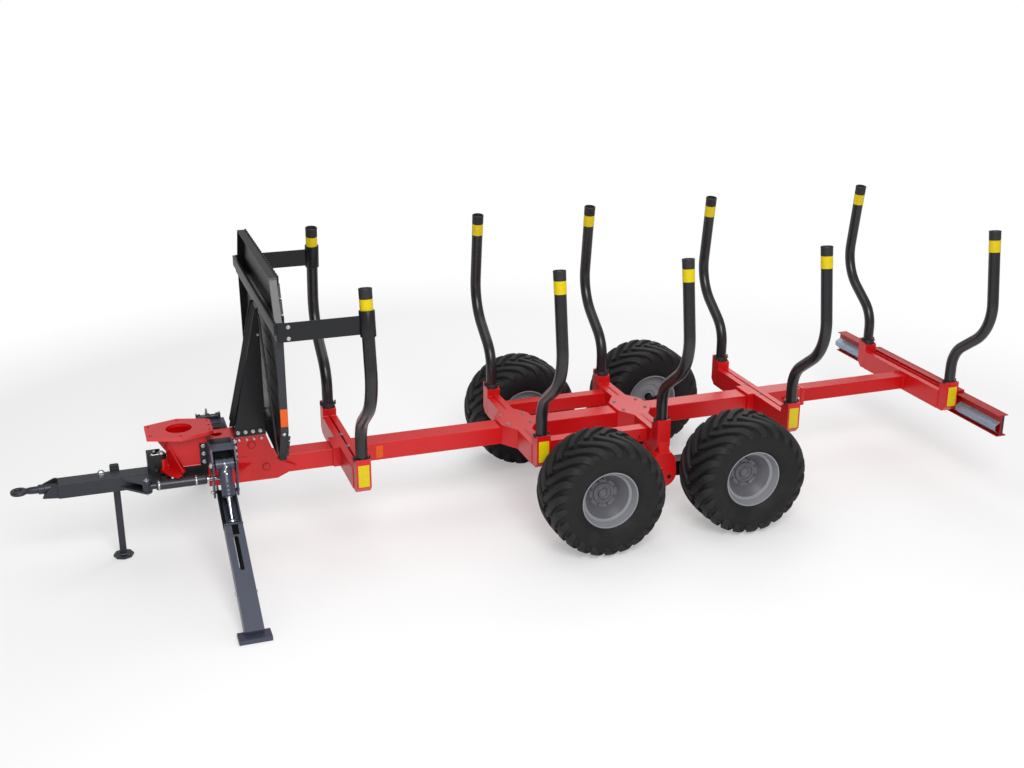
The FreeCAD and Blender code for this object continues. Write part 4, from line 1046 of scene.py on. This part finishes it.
# ---- headboard ---------------------------------------------------------------
# An eight-sided folded frame with a pressed sheet, upright ribs on its back, crossing
# braces, a pedestal bolted to the deck and arms that reach back to the first stakes.
# Black sprayed steel with toothed side edges and orange reflectors.
HEADBOARD = ("headboard_frame", "headboard_panel", "headboard_crossbar", "headboard_braces",
             "headboard_pedestal", "headboard_arms")
coat_nodes(black_paint, *HEADBOARD)
roll_edges(0.002, "headboard_frame", "headboard_braces")
roll_edges(0.003, "headboard_pedestal", "headboard_arms")
board_low, board_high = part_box("headboard_frame")
OUTLINE = [(0.0, 2.290), (0.734, 2.290), (0.870, 2.010), (0.850, 1.220), (0.690, 0.955), (0.0, 0.955)]


def board_half_width(z):
    """Half width of the headboard at a height, between its outline corners."""
    for (y_a, z_a), (y_b, z_b) in zip(OUTLINE[1:], OUTLINE[2:]):
        if z_b <= z <= z_a and z_a > z_b:
            return y_a + (y_b - y_a) * (z_a - z) / (z_a - z_b)
    return OUTLINE[1][0]


PANEL_BACK = 1.9545
PANEL_FACE = 1.9600
FOLD = 0.0028
fold_heights = (1.085, 1.220, 1.310, 1.445, 1.580, 1.715, 1.850, 1.985, 2.120)
sight_slots = ((-0.800, -0.782, 1.700, 1.800), (-0.790, -0.768, 2.070, 2.094))
levels = [(0.960, 0.0), (2.010, 0.0), (2.286, 0.0)]
for z in fold_heights:
    levels += [(z - 0.006, 0.0), (z, FOLD), (z + 0.006, 0.0)]
for _, _, slot_low, slot_high in sight_slots:
    levels += [(slot_low, 0.0), (slot_high, 0.0)]
levels.sort()


def sheet_strip(bm, low_level, high_level, low_span, high_span):
    """One strip of the pressed sheet between two heights, from one side position to the other."""
    rings = []
    for (z, fold), span in ((low_level, low_span), (high_level, high_span)):
        rings.append([bm.verts.new(spot) for spot in (
            (PANEL_BACK, span[0], z), (PANEL_BACK, span[1], z), (PANEL_FACE + fold, span[1], z),
            (PANEL_FACE + fold, span[0], z))])
    band(bm, *rings)


bm = bmesh.new()
for low_level, high_level in zip(levels, levels[1:]):
    low_half = board_half_width(low_level[0]) - 0.002
    high_half = board_half_width(high_level[0]) - 0.002
    cuts = [slot for slot in sight_slots if slot[2] <= low_level[0] and high_level[0] <= slot[3]]
    if cuts:
        start, end = cuts[0][:2]
        sheet_strip(bm, low_level, high_level, (-low_half, start), (-high_half, start))
        sheet_strip(bm, low_level, high_level, (end, low_half), (end, high_half))
    else:
        sheet_strip(bm, low_level, high_level, (-low_half, low_half), (-high_half, high_half))
panel = lay_out("headboard_sheet", bm, "frame", "black_paint", black_paint, sharp=25)
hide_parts("headboard_panel")

RIB_PITCH = 0.065
RIB_HALF = 0.015
LOWER_CORNER_Y = 0.690
bm = bmesh.new()
for number in range(-11, 12):
    y = number * RIB_PITCH
    foot = 0.975 + max(0.0, abs(y) + RIB_HALF - LOWER_CORNER_Y) * 1.66
    block(bm, (board_low.x - 0.014, y - RIB_HALF, foot),
          (board_low.x, y + RIB_HALF, board_high.z + 0.006), 0.003)
lay_out("headboard_rear_ribs", bm, "frame", "black_paint", black_paint, sharp=25)

bm = bmesh.new()
teeth = [(2.160, 2.250, 0.012), (2.060, 2.155, 0.012), (1.960, 2.055, 0.012)]
teeth += [(0.985 + step * 0.050, 1.027 + step * 0.050, 0.007) for step in range(4)]
for side in (-1, 1):
    for foot, head, proud in teeth:
        tooth = [(side * (board_half_width(z) + out), z)
                 for z, out in ((foot, -0.004), (foot, 0.0), (head - 0.006, proud),
                                (head, proud - 0.003), (head, -0.004))]
        prism(bm, *([(x, y, z) for y, z in tooth] for x in (board_low.x - 0.013, board_low.x + 0.003)))
    side_block(bm, side, (board_low.x + 0.004, 0.640, 0.957), (board_high.x - 0.002, 0.716, 1.030), 0.003)
lay_out("headboard_edge_teeth", bm, "frame", "black_paint", black_paint, sharp=20)

bar_back, bar_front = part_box("headboard_crossbar")
BAR_WAIST = bar_front.z - 0.080
bm = bmesh.new()
block(bm, (bar_back.x, bar_back.y, BAR_WAIST), bar_front)
block(bm, bar_back, (bar_back.x + 0.003, bar_front.y, BAR_WAIST + 0.003), 0.001)
crossbar = lay_out("headboard_cross_bar", bm, "frame", "black_paint", black_paint, sharp=25)
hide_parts("headboard_crossbar")

dark_paint = sprayed_paint("black paint in shade", colour(12, 13, 15), colour(9, 10, 12),
                           colour(30, 32, 36), roughness=0.6, edge_share=0.1, dust=0.1, gloss=0.1)


def standing_plate(bm, outline, y0, y1, slot_index=0):
    """Flat plate standing along the trailer, from its (x, z) outline."""
    prism(bm, *([(x, y, z) for x, z in outline] for y in (y0, y1)), slot_index)


bm = bmesh.new()
standing_plate(bm, [(2.2470, 1.000), (2.0270, 1.900), (2.0230, 1.900), (2.2430, 1.000)], -0.116, 0.116)
lay_out("pedestal_front_plate", bm, "frame", "black_paint", dark_paint, sharp=20)

# Black discs and short black slots on the pedestal sides stand in for holes: painted shade.
bm = bmesh.new()
for side in (-1, 1):
    turn_round(bm, [(0.0, 0.0100), (0.0010, 0.0100), (0.0010, 0.0)], (2.014, side * 0.1202, 1.117),
               (0, side, 0), 24)
    block(bm, (1.963, side * 0.112 - 0.004, 1.044), (2.014, side * 0.112 + 0.004, 1.056), 0.001)
lay_out("pedestal_side_holes", bm, "frame", "black_paint", black_plastic)

foot_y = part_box("headboard_pedestal")[1].y
bm = bmesh.new()
for side in (-1, 1):
    for z in (2.009, 1.929):
        hex_bolt(bm, (1.936, side * 0.974, z), (0, side, 0), 0.0155, 0.009)
    for x in (2.215, 2.160, 2.105, 2.050):
        hex_bolt(bm, (x, side * foot_y, 0.967), (0, side, 0), 0.0170, 0.011)
        turn_round(bm, [(0.0, 0.0125), (0.003, 0.0125), (0.007, 0.0095), (0.009, 0.0045), (0.009, 0.0)],
                   (x - 0.006, side * side_y, 0.903), (0, side, 0), 20)
    y = side * board_half_width(1.205)
    hex_bolt(bm, (1.985, y, 1.205), (0, side * 0.86, -0.51), 0.016, 0.010)
    hex_bolt(bm, (2.022, side * foot_y, 1.707), (0, side, 0), 0.010, 0.005)
lay_out("headboard_bolts", bm, "frame", "zinc", zinc_plate)

bm = bmesh.new()
for side in (-1, 1):
    side_block(bm, side, (2.030, foot_y - 0.016, 0.936), (2.240, foot_y + 0.0015, 0.994), 0.001)
lay_out("pedestal_foot_strips", bm, "frame", "black_paint", black_paint)

orange_sheet = prism_sheet("orange reflector sheet", colour(228, 94, 10), colour(200, 74, 5))
front, back = board_high.x - 0.003, board_low.x + 0.003
sheet_corners = [(front, 1.262), (back, 1.262), (back, 1.392), (front, 1.392)]
bm = bmesh.new()
for side in (-1, 1):
    prism(bm, *([(x, side * (board_half_width(z) + out), z) for x, z in sheet_corners]
                for out in (0.0024, 0.0046)))
lay_out("headboard_reflectors", bm, "frame", "orange_reflector", orange_sheet)

bm = bmesh.new()
for side in (-1, 1):
    side_block(bm, side, (1.121, beam_high.y, 0.611), (1.176, beam_high.y + 0.003, 0.709), 0.001)
lay_out("beam_side_reflectors", bm, "frame", "orange_reflector", orange_sheet)

rim_side_light_grey = sprayed_paint("headboard rim paint lightened as painted light", colour(34, 36, 43), colour(28, 30, 36), colour(96, 101, 112),
                         roughness=0.30, edge_share=0.3, dust=0.1)
# The rim's side faces from the top corner down to the lower bend take a lighter grey than the board:
# painted light falling on them.
bm = bmesh.new()
for side in (-1, 1):
    for (y_a, z_a), (y_b, z_b) in zip(OUTLINE[1:3], OUTLINE[2:4]):
        face = ((board_low.x + 0.004, y_a, z_a - 0.004), (board_high.x - 0.003, y_a, z_a - 0.004),
                (board_high.x - 0.003, y_b, z_b + 0.002), (board_low.x + 0.004, y_b, z_b + 0.002))
        prism(bm, *([(x, side * (y + proud), z) for x, y, z in face] for proud in (-0.001, 0.0018)))
lay_out("headboard_rim_sides", bm, "frame", "black_paint", rim_side_light_grey)

# ---- stabilisers -------------------------------------------------------------
# A folding support leg on each side: bolted cheeks, a channel leg with a slotted
# box foot, and a hydraulic cylinder with zinc fittings along its upper side.
graphite = sprayed_paint("graphite paint", colour(38, 42, 52), colour(31, 34, 43),
                         colour(104, 109, 120), roughness=0.30, edge_share=0.3, dust=0.15)
# Brackets, legs and barrels take a lighter copy of the graphite: painted light on them.
lit_leg_graphite = sprayed_paint("leg graphite lightened as painted light", colour(64, 69, 86), colour(56, 61, 76),
                             colour(124, 130, 144), roughness=0.30, edge_share=0.35, dust=0.1)
leg_shade_black = sprayed_paint("painted shade in slots and on leg sides", colour(9, 9, 11), colour(6, 6, 8), colour(14, 14, 16),
                           roughness=0.7, edge_share=0.1, dust=0.1, gloss=0.1)
coat_nodes(lit_leg_graphite, "stabiliser_brackets", "stabiliser_leg_left", "stabiliser_leg_right",
           "stabiliser_barrel_left", "stabiliser_barrel_right")
roll_edges(0.002, "stabiliser_brackets")
roll_edges(0.005, "stabiliser_leg_left", "stabiliser_leg_right")


def ground_chrome(name):
    """Hard-chromed ground rod: bright, with faint rings round it and an oil bloom."""
    material, tree, out = blank_material(name)
    where = place(tree, "TexCoord").outputs["Object"]
    rings = noise(tree, where, 1400.0, 1.0)
    bloom = noise(tree, where, 25.0, 3.0)
    base = tint(tree, bloom, colour(226, 228, 232), colour(190, 194, 200))
    rough = calc(tree, "MULTIPLY_ADD", bloom, 0.14, 0.05)
    surface(tree, out, base, rough, (rings, 0.04, 0.0002), metallic=1.0)
    return material


chrome = ground_chrome("hard chrome")
coat_nodes(chrome, "stabiliser_rod_left", "stabiliser_rod_right")
STAB_X = 2.354
HINGE = Vector((STAB_X, 0.322, 0.610))
CYLINDER_TOP = Vector((STAB_X, 0.350, 0.832))
CYLINDER_FOOT = Vector((STAB_X, 0.575, 0.478))
GROUND_END = Vector((STAB_X, 1.430, 0.030))
leg_run = (GROUND_END - HINGE).normalized()
leg_up = Vector((0, -leg_run.z, leg_run.y))
barrel_run = (CYLINDER_FOOT - CYLINDER_TOP).normalized()
barrel_up = Vector((0, -barrel_run.z, barrel_run.y))


def pin_with_head(bm, centre, half, radius, head):
    """Pin across a joint: a domed head at one end and a thin collar at the other."""
    turn_round(bm, [(-half - 0.006, 0.0), (-half - 0.006, head * 0.9), (-half, head * 0.9), (-half, radius),
                    (half, radius), (half, head), (half + 0.006, head), (half + 0.013, head * 0.82),
                    (half + 0.017, head * 0.45), (half + 0.018, 0.0)], centre, (1, 0, 0), 28)


PIPE_SIDES = 10


def pipe_run(bm, points, radius):
    """Hard pipe bent through rounded corners."""
    points = [Vector(point) for point in points]
    bent = [points[0]]
    for before, corner, after in zip(points, points[1:], points[2:]):
        for share in (0.0, 0.25, 0.5, 0.75, 1.0):
            reach = min((corner - before).length, (after - corner).length) * 0.35
            start = corner + (before - corner).normalized() * reach
            end = corner + (after - corner).normalized() * reach
            bent.append(start.lerp(corner, share).lerp(corner.lerp(end, share), share))
    bent.append(points[-1])
    rings = []
    for index, spot in enumerate(bent):
        ahead = bent[min(index + 1, len(bent) - 1)] - bent[max(index - 1, 0)]
        turn = ahead.to_track_quat("Z", "X").to_matrix()
        ring = []
        for step in range(PIPE_SIDES):
            angle = 2 * math.pi * step / PIPE_SIDES
            ring.append(bm.verts.new(spot + turn @ Vector((radius * math.cos(angle),
                                                           radius * math.sin(angle), 0))))
        rings.append(ring)
    for low, high in zip(rings, rings[1:]):
        band(bm, low, high)
    bm.faces.new(rings[0])
    bm.faces.new(list(reversed(rings[-1])))


bm = bmesh.new()
plates = bmesh.new()
for side in (-1, 1):
    side_block(plates, side, (2.228, side_y, 0.742), (2.500, side_y + 0.010, 0.920))
    # A thin black strip on the bracket top next to the frame is painted shade of the gap there.
    side_block(plates, side, (STAB_X - 0.077, side_y + 0.001, 0.9405),
               (STAB_X + 0.077, 0.208, 0.9420), 0.0004)
    for x, heights in ((2.472, (0.900, 0.838, 0.775)), (2.244, (0.904, 0.854, 0.804, 0.757))):
        for z in heights:
            hex_bolt(bm, (x, side * (side_y + 0.010), z), (0, side, 0), 0.0180, 0.011)
    for point, head in ((CYLINDER_TOP, 0.0195), (HINGE, 0.0125)):
        pin_with_head(plates, handed(point, side), 0.091, 0.012, head)
        turn_round(bm, [(0.092, head + 0.001), (0.099, head + 0.001), (0.105, head * 0.85),
                        (0.110, head * 0.5), (0.111, 0.0)], handed(point, side), (1, 0, 0), 28)
lay_out("bracket_bolts_and_pins", bm, "frame", "zinc", zinc_plate)
lay_out("bracket_plates_pins_and_gap_shade", plates, "frame", "black_paint", black_paint)

LEG_FACE = 0.0500
SLOT_HALF = 0.0145
SLOT_SPAN = (0.470, 0.735)
BARREL_SKIN = 0.0402
JACKET = 0.0450
STOP_BAR = Vector((2.300, -0.320, 0.958))
bm = bmesh.new()
turn_round(bm, [(0.0, 0.0), (0.0, 0.0170), (0.162, 0.0170), (0.162, 0.0)], STOP_BAR, (1, 0, 0), 28)
for dx in (0.012, 0.080, 0.148):
    turn_round(bm, [(-0.011, 0.0170), (-0.011, 0.0235), (-0.009, 0.0250), (0.009, 0.0250), (0.011, 0.0235),
                    (0.011, 0.0170)], STOP_BAR + Vector((dx, 0, 0)), (1, 0, 0), 28)
for x in (2.288, 2.462):
    block(bm, (x, -0.344, 0.850), (x + 0.010, -0.296, 0.984), 0.003)
lay_out("right_bracket_rest_bar", bm, "frame", "graphite_paint", graphite)
bm = bmesh.new()
turn_round(bm, [(0.0, 0.0110), (0.022, 0.0110), (0.024, 0.0090), (0.034, 0.0080), (0.048, 0.0080),
                (0.052, 0.0)], STOP_BAR + Vector((0.092, 0, 0.016)), (0, 0, 1), 12)
turn_round(bm, [(0.0, 0.0), (0.0, 0.0150), (0.006, 0.0150), (0.010, 0.0100), (0.010, 0.0)],
           STOP_BAR + Vector((0.114, 0.0, 0.006)), (0, 0.6, 0.8), 16)
lay_out("right_bracket_fitting", bm, "frame", "zinc", zinc_plate)



def leg_block(bm, space, x, along, above, chamfer=0.0015, slot_index=0):
    """Block laid on a leg, between pairs of distances across it, along it and above it."""
    before = len(bm.verts)
    block(bm, (x[0], along[0], above[0]), (x[1], along[1], above[1]), chamfer, slot_index)
    bm.verts.ensure_lookup_table()
    for vert in bm.verts[before:]:
        vert.co = space @ vert.co


for side, hand in ((1, "left"), (-1, "right")):
    run, up = handed(barrel_run, side), handed(barrel_up, side)
    top = handed(CYLINDER_TOP, side)
    body = "stabiliser_barrel_" + hand
    bm = bmesh.new()
    for dx in (-0.050, 0.0, 0.050):
        turn_round(bm, [(-0.016, BARREL_SKIN), (-0.014, 0.0422), (0.014, 0.0422), (0.016, BARREL_SKIN)],
                   top + Vector((dx, 0, 0)), (1, 0, 0), 36)
    turn_round(bm, [(0.044, BARREL_SKIN), (0.046, JACKET), (0.232, JACKET), (0.234, BARREL_SKIN)],
               top, run, 40)
    turn_round(bm, [(0.234, 0.0180), (0.234, 0.0330), (0.236, 0.0340), (0.239, 0.0340), (0.240, 0.0320),
                    (0.240, 0.0180)], top, run, 32)
    for reach in (0.150, 0.182):
        turn_round(bm, [(0.0430, 0.0080), (0.0458, 0.0080), (0.0458, 0.0)], top + run * reach, up, 18, 1)
    foot = top + run * 0.207 + up * 0.0430
    slot_corners = ((-0.017, 0.0), (0.017, 0.0), (0.017, 0.010), (-0.017, 0.010))
    prism(bm, *([foot + Vector((dx, 0, 0)) + run * along + up * lift for dx, along in slot_corners]
                for lift in (0.0, 0.0036)), 1)
    lay_out("stabiliser_barrel_jacket_" + hand, bm, body, "graphite_paint", lit_leg_graphite, black_plastic)
    bm = bmesh.new()
    nipples = [(0.004, 0.004), (0.030, -0.008), (0.062, 0.010), (0.082, -0.004)]
    for reach, dx in nipples:
        turn_round(bm, [(0.038, 0.0080), (0.049, 0.0080), (0.051, 0.0065), (0.055, 0.0050), (0.056, 0.0)],
                   top + run * reach + Vector((dx, 0, 0)), up, 12)
    pipe_run(bm, [top + run * reach + up * 0.051 + Vector((dx, 0, 0)) for reach, dx in nipples], 0.0036)
    turn_round(bm, [(0.240, 0.0165), (0.240, 0.0225), (0.244, 0.0225), (0.246, 0.0200), (0.246, 0.0165)],
               top, run, 28)
    lay_out("stabiliser_fittings_" + hand, bm, body, "zinc", zinc_plate)
    bm = bmesh.new()
    turn_round(bm, [(0.022, 0.0), (0.022, 0.0125), (0.030, 0.0125), (0.035, 0.0090), (0.037, 0.0)],
               handed(CYLINDER_FOOT, side), up, 20)
    turn_round(bm, [(-0.0225, 0.0), (-0.0225, 0.0246), (0.0225, 0.0246), (0.0225, 0.0)],
               handed(CYLINDER_FOOT, side), (1, 0, 0), 36, 1)
    lay_out("stabiliser_rod_end_caps_" + hand, bm, "stabiliser_rod_" + hand, "zinc", zinc_plate, graphite)

    axes = Matrix((Vector((1, 0, 0)), handed(leg_run, side), handed(leg_up, side))).transposed()
    leg_space = Matrix.Translation(handed(HINGE, side)) @ axes.to_4x4()
    body = "stabiliser_leg_" + hand
    bm = bmesh.new()
    pin_with_head(bm, handed(CYLINDER_FOOT, side), 0.044, 0.010, 0.0150)
    lay_out("stabiliser_rod_pins_" + hand, bm, body, "graphite_paint", black_paint)
    bm = bmesh.new()
    leg_block(bm, leg_space, (-0.067, 0.067), (0.336, 0.352), (0.0, 0.054))
    for x in (-0.0665, 0.0625):
        leg_block(bm, leg_space, (x, x + 0.004), (0.40, 0.52), (-0.040, 0.040))
    lay_out("stabiliser_leg_straps_" + hand, bm, body, "graphite_paint", lit_leg_graphite)
    # Everything in this piece is painted shade: the slot and its round ends, the dark mouth above it, a
    # strip along the top edge and down the side of the leg, three discs under it and a block at the foot.
    bm = bmesh.new()
    leg_block(bm, leg_space, (-SLOT_HALF, SLOT_HALF), SLOT_SPAN, (LEG_FACE, LEG_FACE + 0.0012), 0.0004)
    for along in SLOT_SPAN:
        turn_round(bm, [(LEG_FACE, SLOT_HALF), (LEG_FACE + 0.0012, SLOT_HALF), (LEG_FACE + 0.0012, 0.0)],
                   leg_space @ Vector((0.0, along, 0.0)), handed(leg_up, side), 24)
    leg_block(bm, leg_space, (-0.028, 0.017), (0.3525, 0.440), (LEG_FACE, LEG_FACE + 0.0010), 0.0004)
    leg_block(bm, leg_space, (0.0500, 0.0680), (0.030, 0.334), (0.0490, 0.0530), 0.001)
    leg_block(bm, leg_space, (0.0655, 0.0685), (0.030, 0.334), (-0.030, 0.0530), 0.001)
    for along in (0.085, 0.125, 0.165):
        turn_round(bm, [(0.0, 0.011), (0.001, 0.011), (0.001, 0.0)],
                   leg_space @ Vector((0.0, along, -0.0398)), handed(leg_up, side), 18)
    side_block(bm, side, (STAB_X - 0.060, GROUND_END.y - 0.061, 0.034),
               (STAB_X + 0.060, GROUND_END.y - 0.020, 0.062), 0.003)
    lay_out("stabiliser_slot_and_side_shade_" + hand, bm, body, "black_paint", leg_shade_black)
    bm = bmesh.new()
    # A thin pale strip in the rim grey along the slot's edge is a painted highlight; the two pin heads near
    # the foot are zinc.
    leg_block(bm, leg_space, (0.0155, 0.0200), (0.465, 0.728), (LEG_FACE, LEG_FACE + 0.0022), 0.0008, 1)
    for x in (-1, 1):
        turn_round(bm, [(0.0, 0.0130), (0.006, 0.0130), (0.012, 0.0090), (0.013, 0.0)],
                   leg_space @ Vector((x * 0.0665, 0.906, 0.0)), (x, 0, 0), 20)
    lay_out("stabiliser_slot_rails_and_pins_" + hand, bm, body, "zinc", zinc_plate, rim_silver)

# ---- drawbar, tow eye and jack sleeve ----------------------------------------
# A box tube with a welded fork and black head block on its rear end and lugs for
# the steering cylinder. A forged tow eye sits in a stepped sleeve with gussets.
coat_nodes(graphite, "drawbar_tube", "drawbar_lugs", "jack_sleeve")
coat_nodes(black_paint, "drawbar_clevis")
roll_edges(0.006, "drawbar_tube")
roll_edges(0.002, "drawbar_lugs", "jack_sleeve")
roll_edges(0.003, "drawbar_clevis")
bar_low, bar_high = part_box("drawbar_tube")
EYE = Vector((3.780, 0.0, 0.672))

EYE_SIDES = 64
SECTION = 20
bm = bmesh.new()
ring_rows = []
for step in range(EYE_SIDES):
    turn = 2 * math.pi * step / EYE_SIDES
    row = []
    for part in range(SECTION):
        angle = 2 * math.pi * part / SECTION
        middle = 0.0425 - 0.0027 * math.cos(turn)
        wide = middle + (middle - 0.025) * math.copysign(abs(math.cos(angle)) ** 0.8, math.cos(angle))
        tall = 0.016 * math.copysign(abs(math.sin(angle)) ** 0.8, math.sin(angle))
        row.append(bm.verts.new(EYE + Vector((wide * math.cos(turn), wide * math.sin(turn), tall))))
    ring_rows.append(row)
for step in range(EYE_SIDES):
    band(bm, ring_rows[step], ring_rows[(step + 1) % EYE_SIDES])
turn_round(bm, [(0.038, 0.0), (0.038, 0.0150), (0.055, 0.0210), (0.075, 0.0250), (0.095, 0.0265),
                (0.136, 0.0275), (0.138, 0.0340), (0.141, 0.0360), (0.177, 0.0360), (0.179, 0.0400),
                (0.182, 0.0420), (0.270, 0.0420), (0.270, 0.0)], EYE, (-1, 0, 0), 40)
eye = lay_out("forged_tow_eye", bm, "drawbar", "graphite_paint", graphite, sharp=28)
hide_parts("tow_eye")

bm = bmesh.new()
nose_x = bar_high.x
block(bm, (nose_x, -0.066, 0.612), (nose_x + 0.010, 0.066, 0.712), 0.002)
for side in (-1, 1):
    standing_plate(bm, [(nose_x, 0.612), (nose_x + 0.107, 0.622), (nose_x + 0.107, 0.634),
                        (nose_x + 0.032, 0.716), (nose_x, 0.722)], side * 0.052, side * 0.064)
standing_plate(bm, [(nose_x, 0.712), (nose_x + 0.100, 0.712), (nose_x + 0.022, 0.746), (nose_x, 0.746)],
               -0.006, 0.006, 1)
block(bm, (nose_x, -0.060, 0.622), (nose_x + 0.100, 0.060, 0.634), 0.002)
for side in (-1, 1):
    side_weld(bm, side, (nose_x + 0.010, 0.065, 0.622), (nose_x + 0.010, 0.065, 0.704))
    side_weld(bm, side, (bar_low.x + 0.001, 0.071, 0.612), (bar_low.x + 0.001, 0.071, 0.712))
weld_bead(bm, [(bar_low.x + 0.001, -0.068, 0.718), (bar_low.x + 0.001, 0.068, 0.718)])
lay_out("drawbar_gussets", bm, "drawbar", "graphite_paint", graphite, black_paint, sharp=25)

clevis_low, clevis_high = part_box("drawbar_clevis")
PIVOT_X = 2.769
HEAD_HALF = 0.073
CHEEK_INNER = 0.058
head_low, head_high = clevis_low.z - 0.003, clevis_high.z + 0.010
cheek_front = clevis_high.x - 0.020
bm = bmesh.new()
block(bm, (clevis_high.x - 0.026, -HEAD_HALF, head_low),
      (clevis_high.x + 0.020, HEAD_HALF, head_high), 0.003)
for side in (-1, 1):
    side_block(bm, side, (2.772, CHEEK_INNER, 0.748), (cheek_front, HEAD_HALF, head_high), 0.003)
    side_block(bm, side, (2.794, CHEEK_INNER, head_low), (cheek_front, HEAD_HALF, 0.703), 0.003)
turn_round(bm, [(0.610, 0.0), (0.610, 0.057), (0.613, 0.060), (0.678, 0.060), (0.678, 0.0)],
           (PIVOT_X, 0, 0), (0, 0, 1), 40)
lay_out("drawbar_head_block", bm, "drawbar", "black_paint", black_paint)

bm = bmesh.new()
turn_round(bm, [(0.0, 0.030), (0.004, 0.030), (0.005, 0.024), (0.005, 0.0)],
           (PIVOT_X, 0, clevis_high.z - 0.001), (0, 0, 1), 32)
hex_bolt(bm, (PIVOT_X, 0, clevis_high.z + 0.003), (0, 0, 1), 0.034, 0.014, False)
for x, y in ((2.790, 0.046), (2.818, -0.040), (2.836, 0.020)):
    hex_bolt(bm, (x, y, clevis_high.z - 0.002), (0, 0, 1), 0.016, 0.010)
pipe_run(bm, [(2.776, 0.048, 0.842), (2.790, 0.052, 0.850), (2.838, 0.052, 0.850),
              (2.850, 0.050, 0.842)], 0.005)
turn_round(bm, [(0.0, 0.030), (0.004, 0.030), (0.005, 0.027), (0.018, 0.027), (0.021, 0.023),
                (0.027, 0.020), (0.027, 0.0)], (3.202, -0.035, bar_high.z), (0, 0, 1), 6)
for up, z in ((1, 0.714), (-1, 0.626)):
    turn_round(bm, [(0.0, 0.021), (0.008, 0.021), (0.010, 0.019), (0.010, 0.008), (0.016, 0.008),
                    (0.018, 0.004), (0.024, 0.004), (0.026, 0.0)], (2.899, 0.200, z), (0, 0, up), 28)
hex_bolt(bm, (3.146, -0.108, 0.690), (1, 0, 0), 0.019, 0.012)
lay_out("drawbar_fittings", bm, "drawbar", "zinc", zinc_plate)

# ---- steering cylinder -------------------------------------------------------
# A hydraulic ram on the left that swings the drawbar: painted barrel in two zinc
# clamp rings, a short gland, two ports on its inner side and a chrome rod.
coat_nodes(graphite, "steering_barrel")
coat_nodes(chrome, "steering_rod")
ram_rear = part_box("steering_barrel")[0].x
RAM_AXIS = Vector((0.0, 0.200, 0.670))
CLAMP_RINGS = (2.822, 2.556)
PORTS = (2.790, 2.512)
RAM_SKIN = 0.0362
outward = Vector((0, 1, 1)).normalized()
bm = bmesh.new()
for x in CLAMP_RINGS:
    turn_round(bm, [(0.0, RAM_SKIN), (0.0, 0.0392), (0.003, 0.0400), (0.009, 0.0400), (0.012, 0.0392),
                    (0.012, RAM_SKIN)], RAM_AXIS + Vector((x, 0, 0)), (-1, 0, 0), 40)
    ring_middle = RAM_AXIS + Vector((x - 0.006, 0, 0))
    turn_round(bm, [(0.0385, 0.0080), (0.0500, 0.0080), (0.0515, 0.0065), (0.0515, 0.0)],
               ring_middle, outward, 4)
    turn_round(bm, [(-0.010, 0.0), (-0.010, 0.0045), (0.010, 0.0045), (0.010, 0.0)],
               ring_middle + outward * 0.0455, (0, 1, -1), 12)
turn_round(bm, [(0.0, 0.0175), (0.0, 0.0300), (0.002, 0.0325), (0.005, 0.0325), (0.006, 0.0300),
                (0.006, 0.0175)], RAM_AXIS + Vector((ram_rear, 0, 0)), (-1, 0, 0), 40, 1)
for x in PORTS:
    turn_round(bm, [(-0.004, 0.0130), (0.005, 0.0130), (0.005, 0.0100), (0.008, 0.0100), (0.008, 0.0)],
               (x, 0.168, 0.662), (0, -1, 0), 6, 1)
turn_round(bm, [(0.0, 0.0), (0.0, 0.0330), (0.003, 0.0352), (0.014, 0.0352), (0.014, 0.0)],
           RAM_AXIS + Vector((2.834, 0, 0)), (-1, 0, 0), 40, 1)
lay_out("steering_ram_rings_and_ports", bm, "steering_barrel", "zinc", zinc_plate, graphite)

bm = bmesh.new()
for z, up in ((0.720, 1), (0.620, -1)):
    turn_round(bm, [(0.0, 0.020), (0.008, 0.020), (0.010, 0.018), (0.010, 0.007), (0.018, 0.007),
                    (0.019, 0.0)], (2.329, 0.200, z), (0, 0, up), 28)
lay_out("steering_rod_pin_heads", bm, "frame", "zinc", zinc_plate)

# ---- jack --------------------------------------------------------------------
# A square post with a thick eight-sided foot. It slides in a sleeve on the right
# of the drawbar, and a black cap closes its top.
post_low, post_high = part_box("jack_leg")
post_x = (post_low.x + post_high.x) / 2
post_y = (post_low.y + post_high.y) / 2
POST_HALF = 0.025
POST_TOP = 0.737
FOOT_RADIUS = 0.0755
FOOT_WELD_Z = 0.021
bm = bmesh.new()
block(bm, (post_x - POST_HALF, post_y - POST_HALF, 0.018),
      (post_x + POST_HALF, post_y + POST_HALF, POST_TOP), 0.004)
turn_round(bm, [(0.0, 0.0), (0.0, FOOT_RADIUS - 0.003), (0.003, FOOT_RADIUS), (0.017, FOOT_RADIUS),
                (0.020, FOOT_RADIUS - 0.003), (0.020, 0.0)], (post_x, post_y, 0.0), (0, 0, 1), 8)
ring = [(post_x + dx * POST_HALF, post_y + dy * POST_HALF, FOOT_WELD_Z)
        for dx, dy in ((-1, -1), (1, -1), (1, 1), (-1, 1))]
weld_bead(bm, ring + ring[:1])
jack = lay_out("jack_post", bm, "jack", "graphite_paint", graphite, sharp=25)
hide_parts("jack_leg")
bm = bmesh.new()
block(bm, (post_x - 0.029, post_y - 0.029, POST_TOP - 0.0005),
      (post_x + 0.029, post_y + 0.029, POST_TOP + 0.008), 0.003)
lay_out("jack_post_cap", bm, "jack", "black_paint", black_plastic)
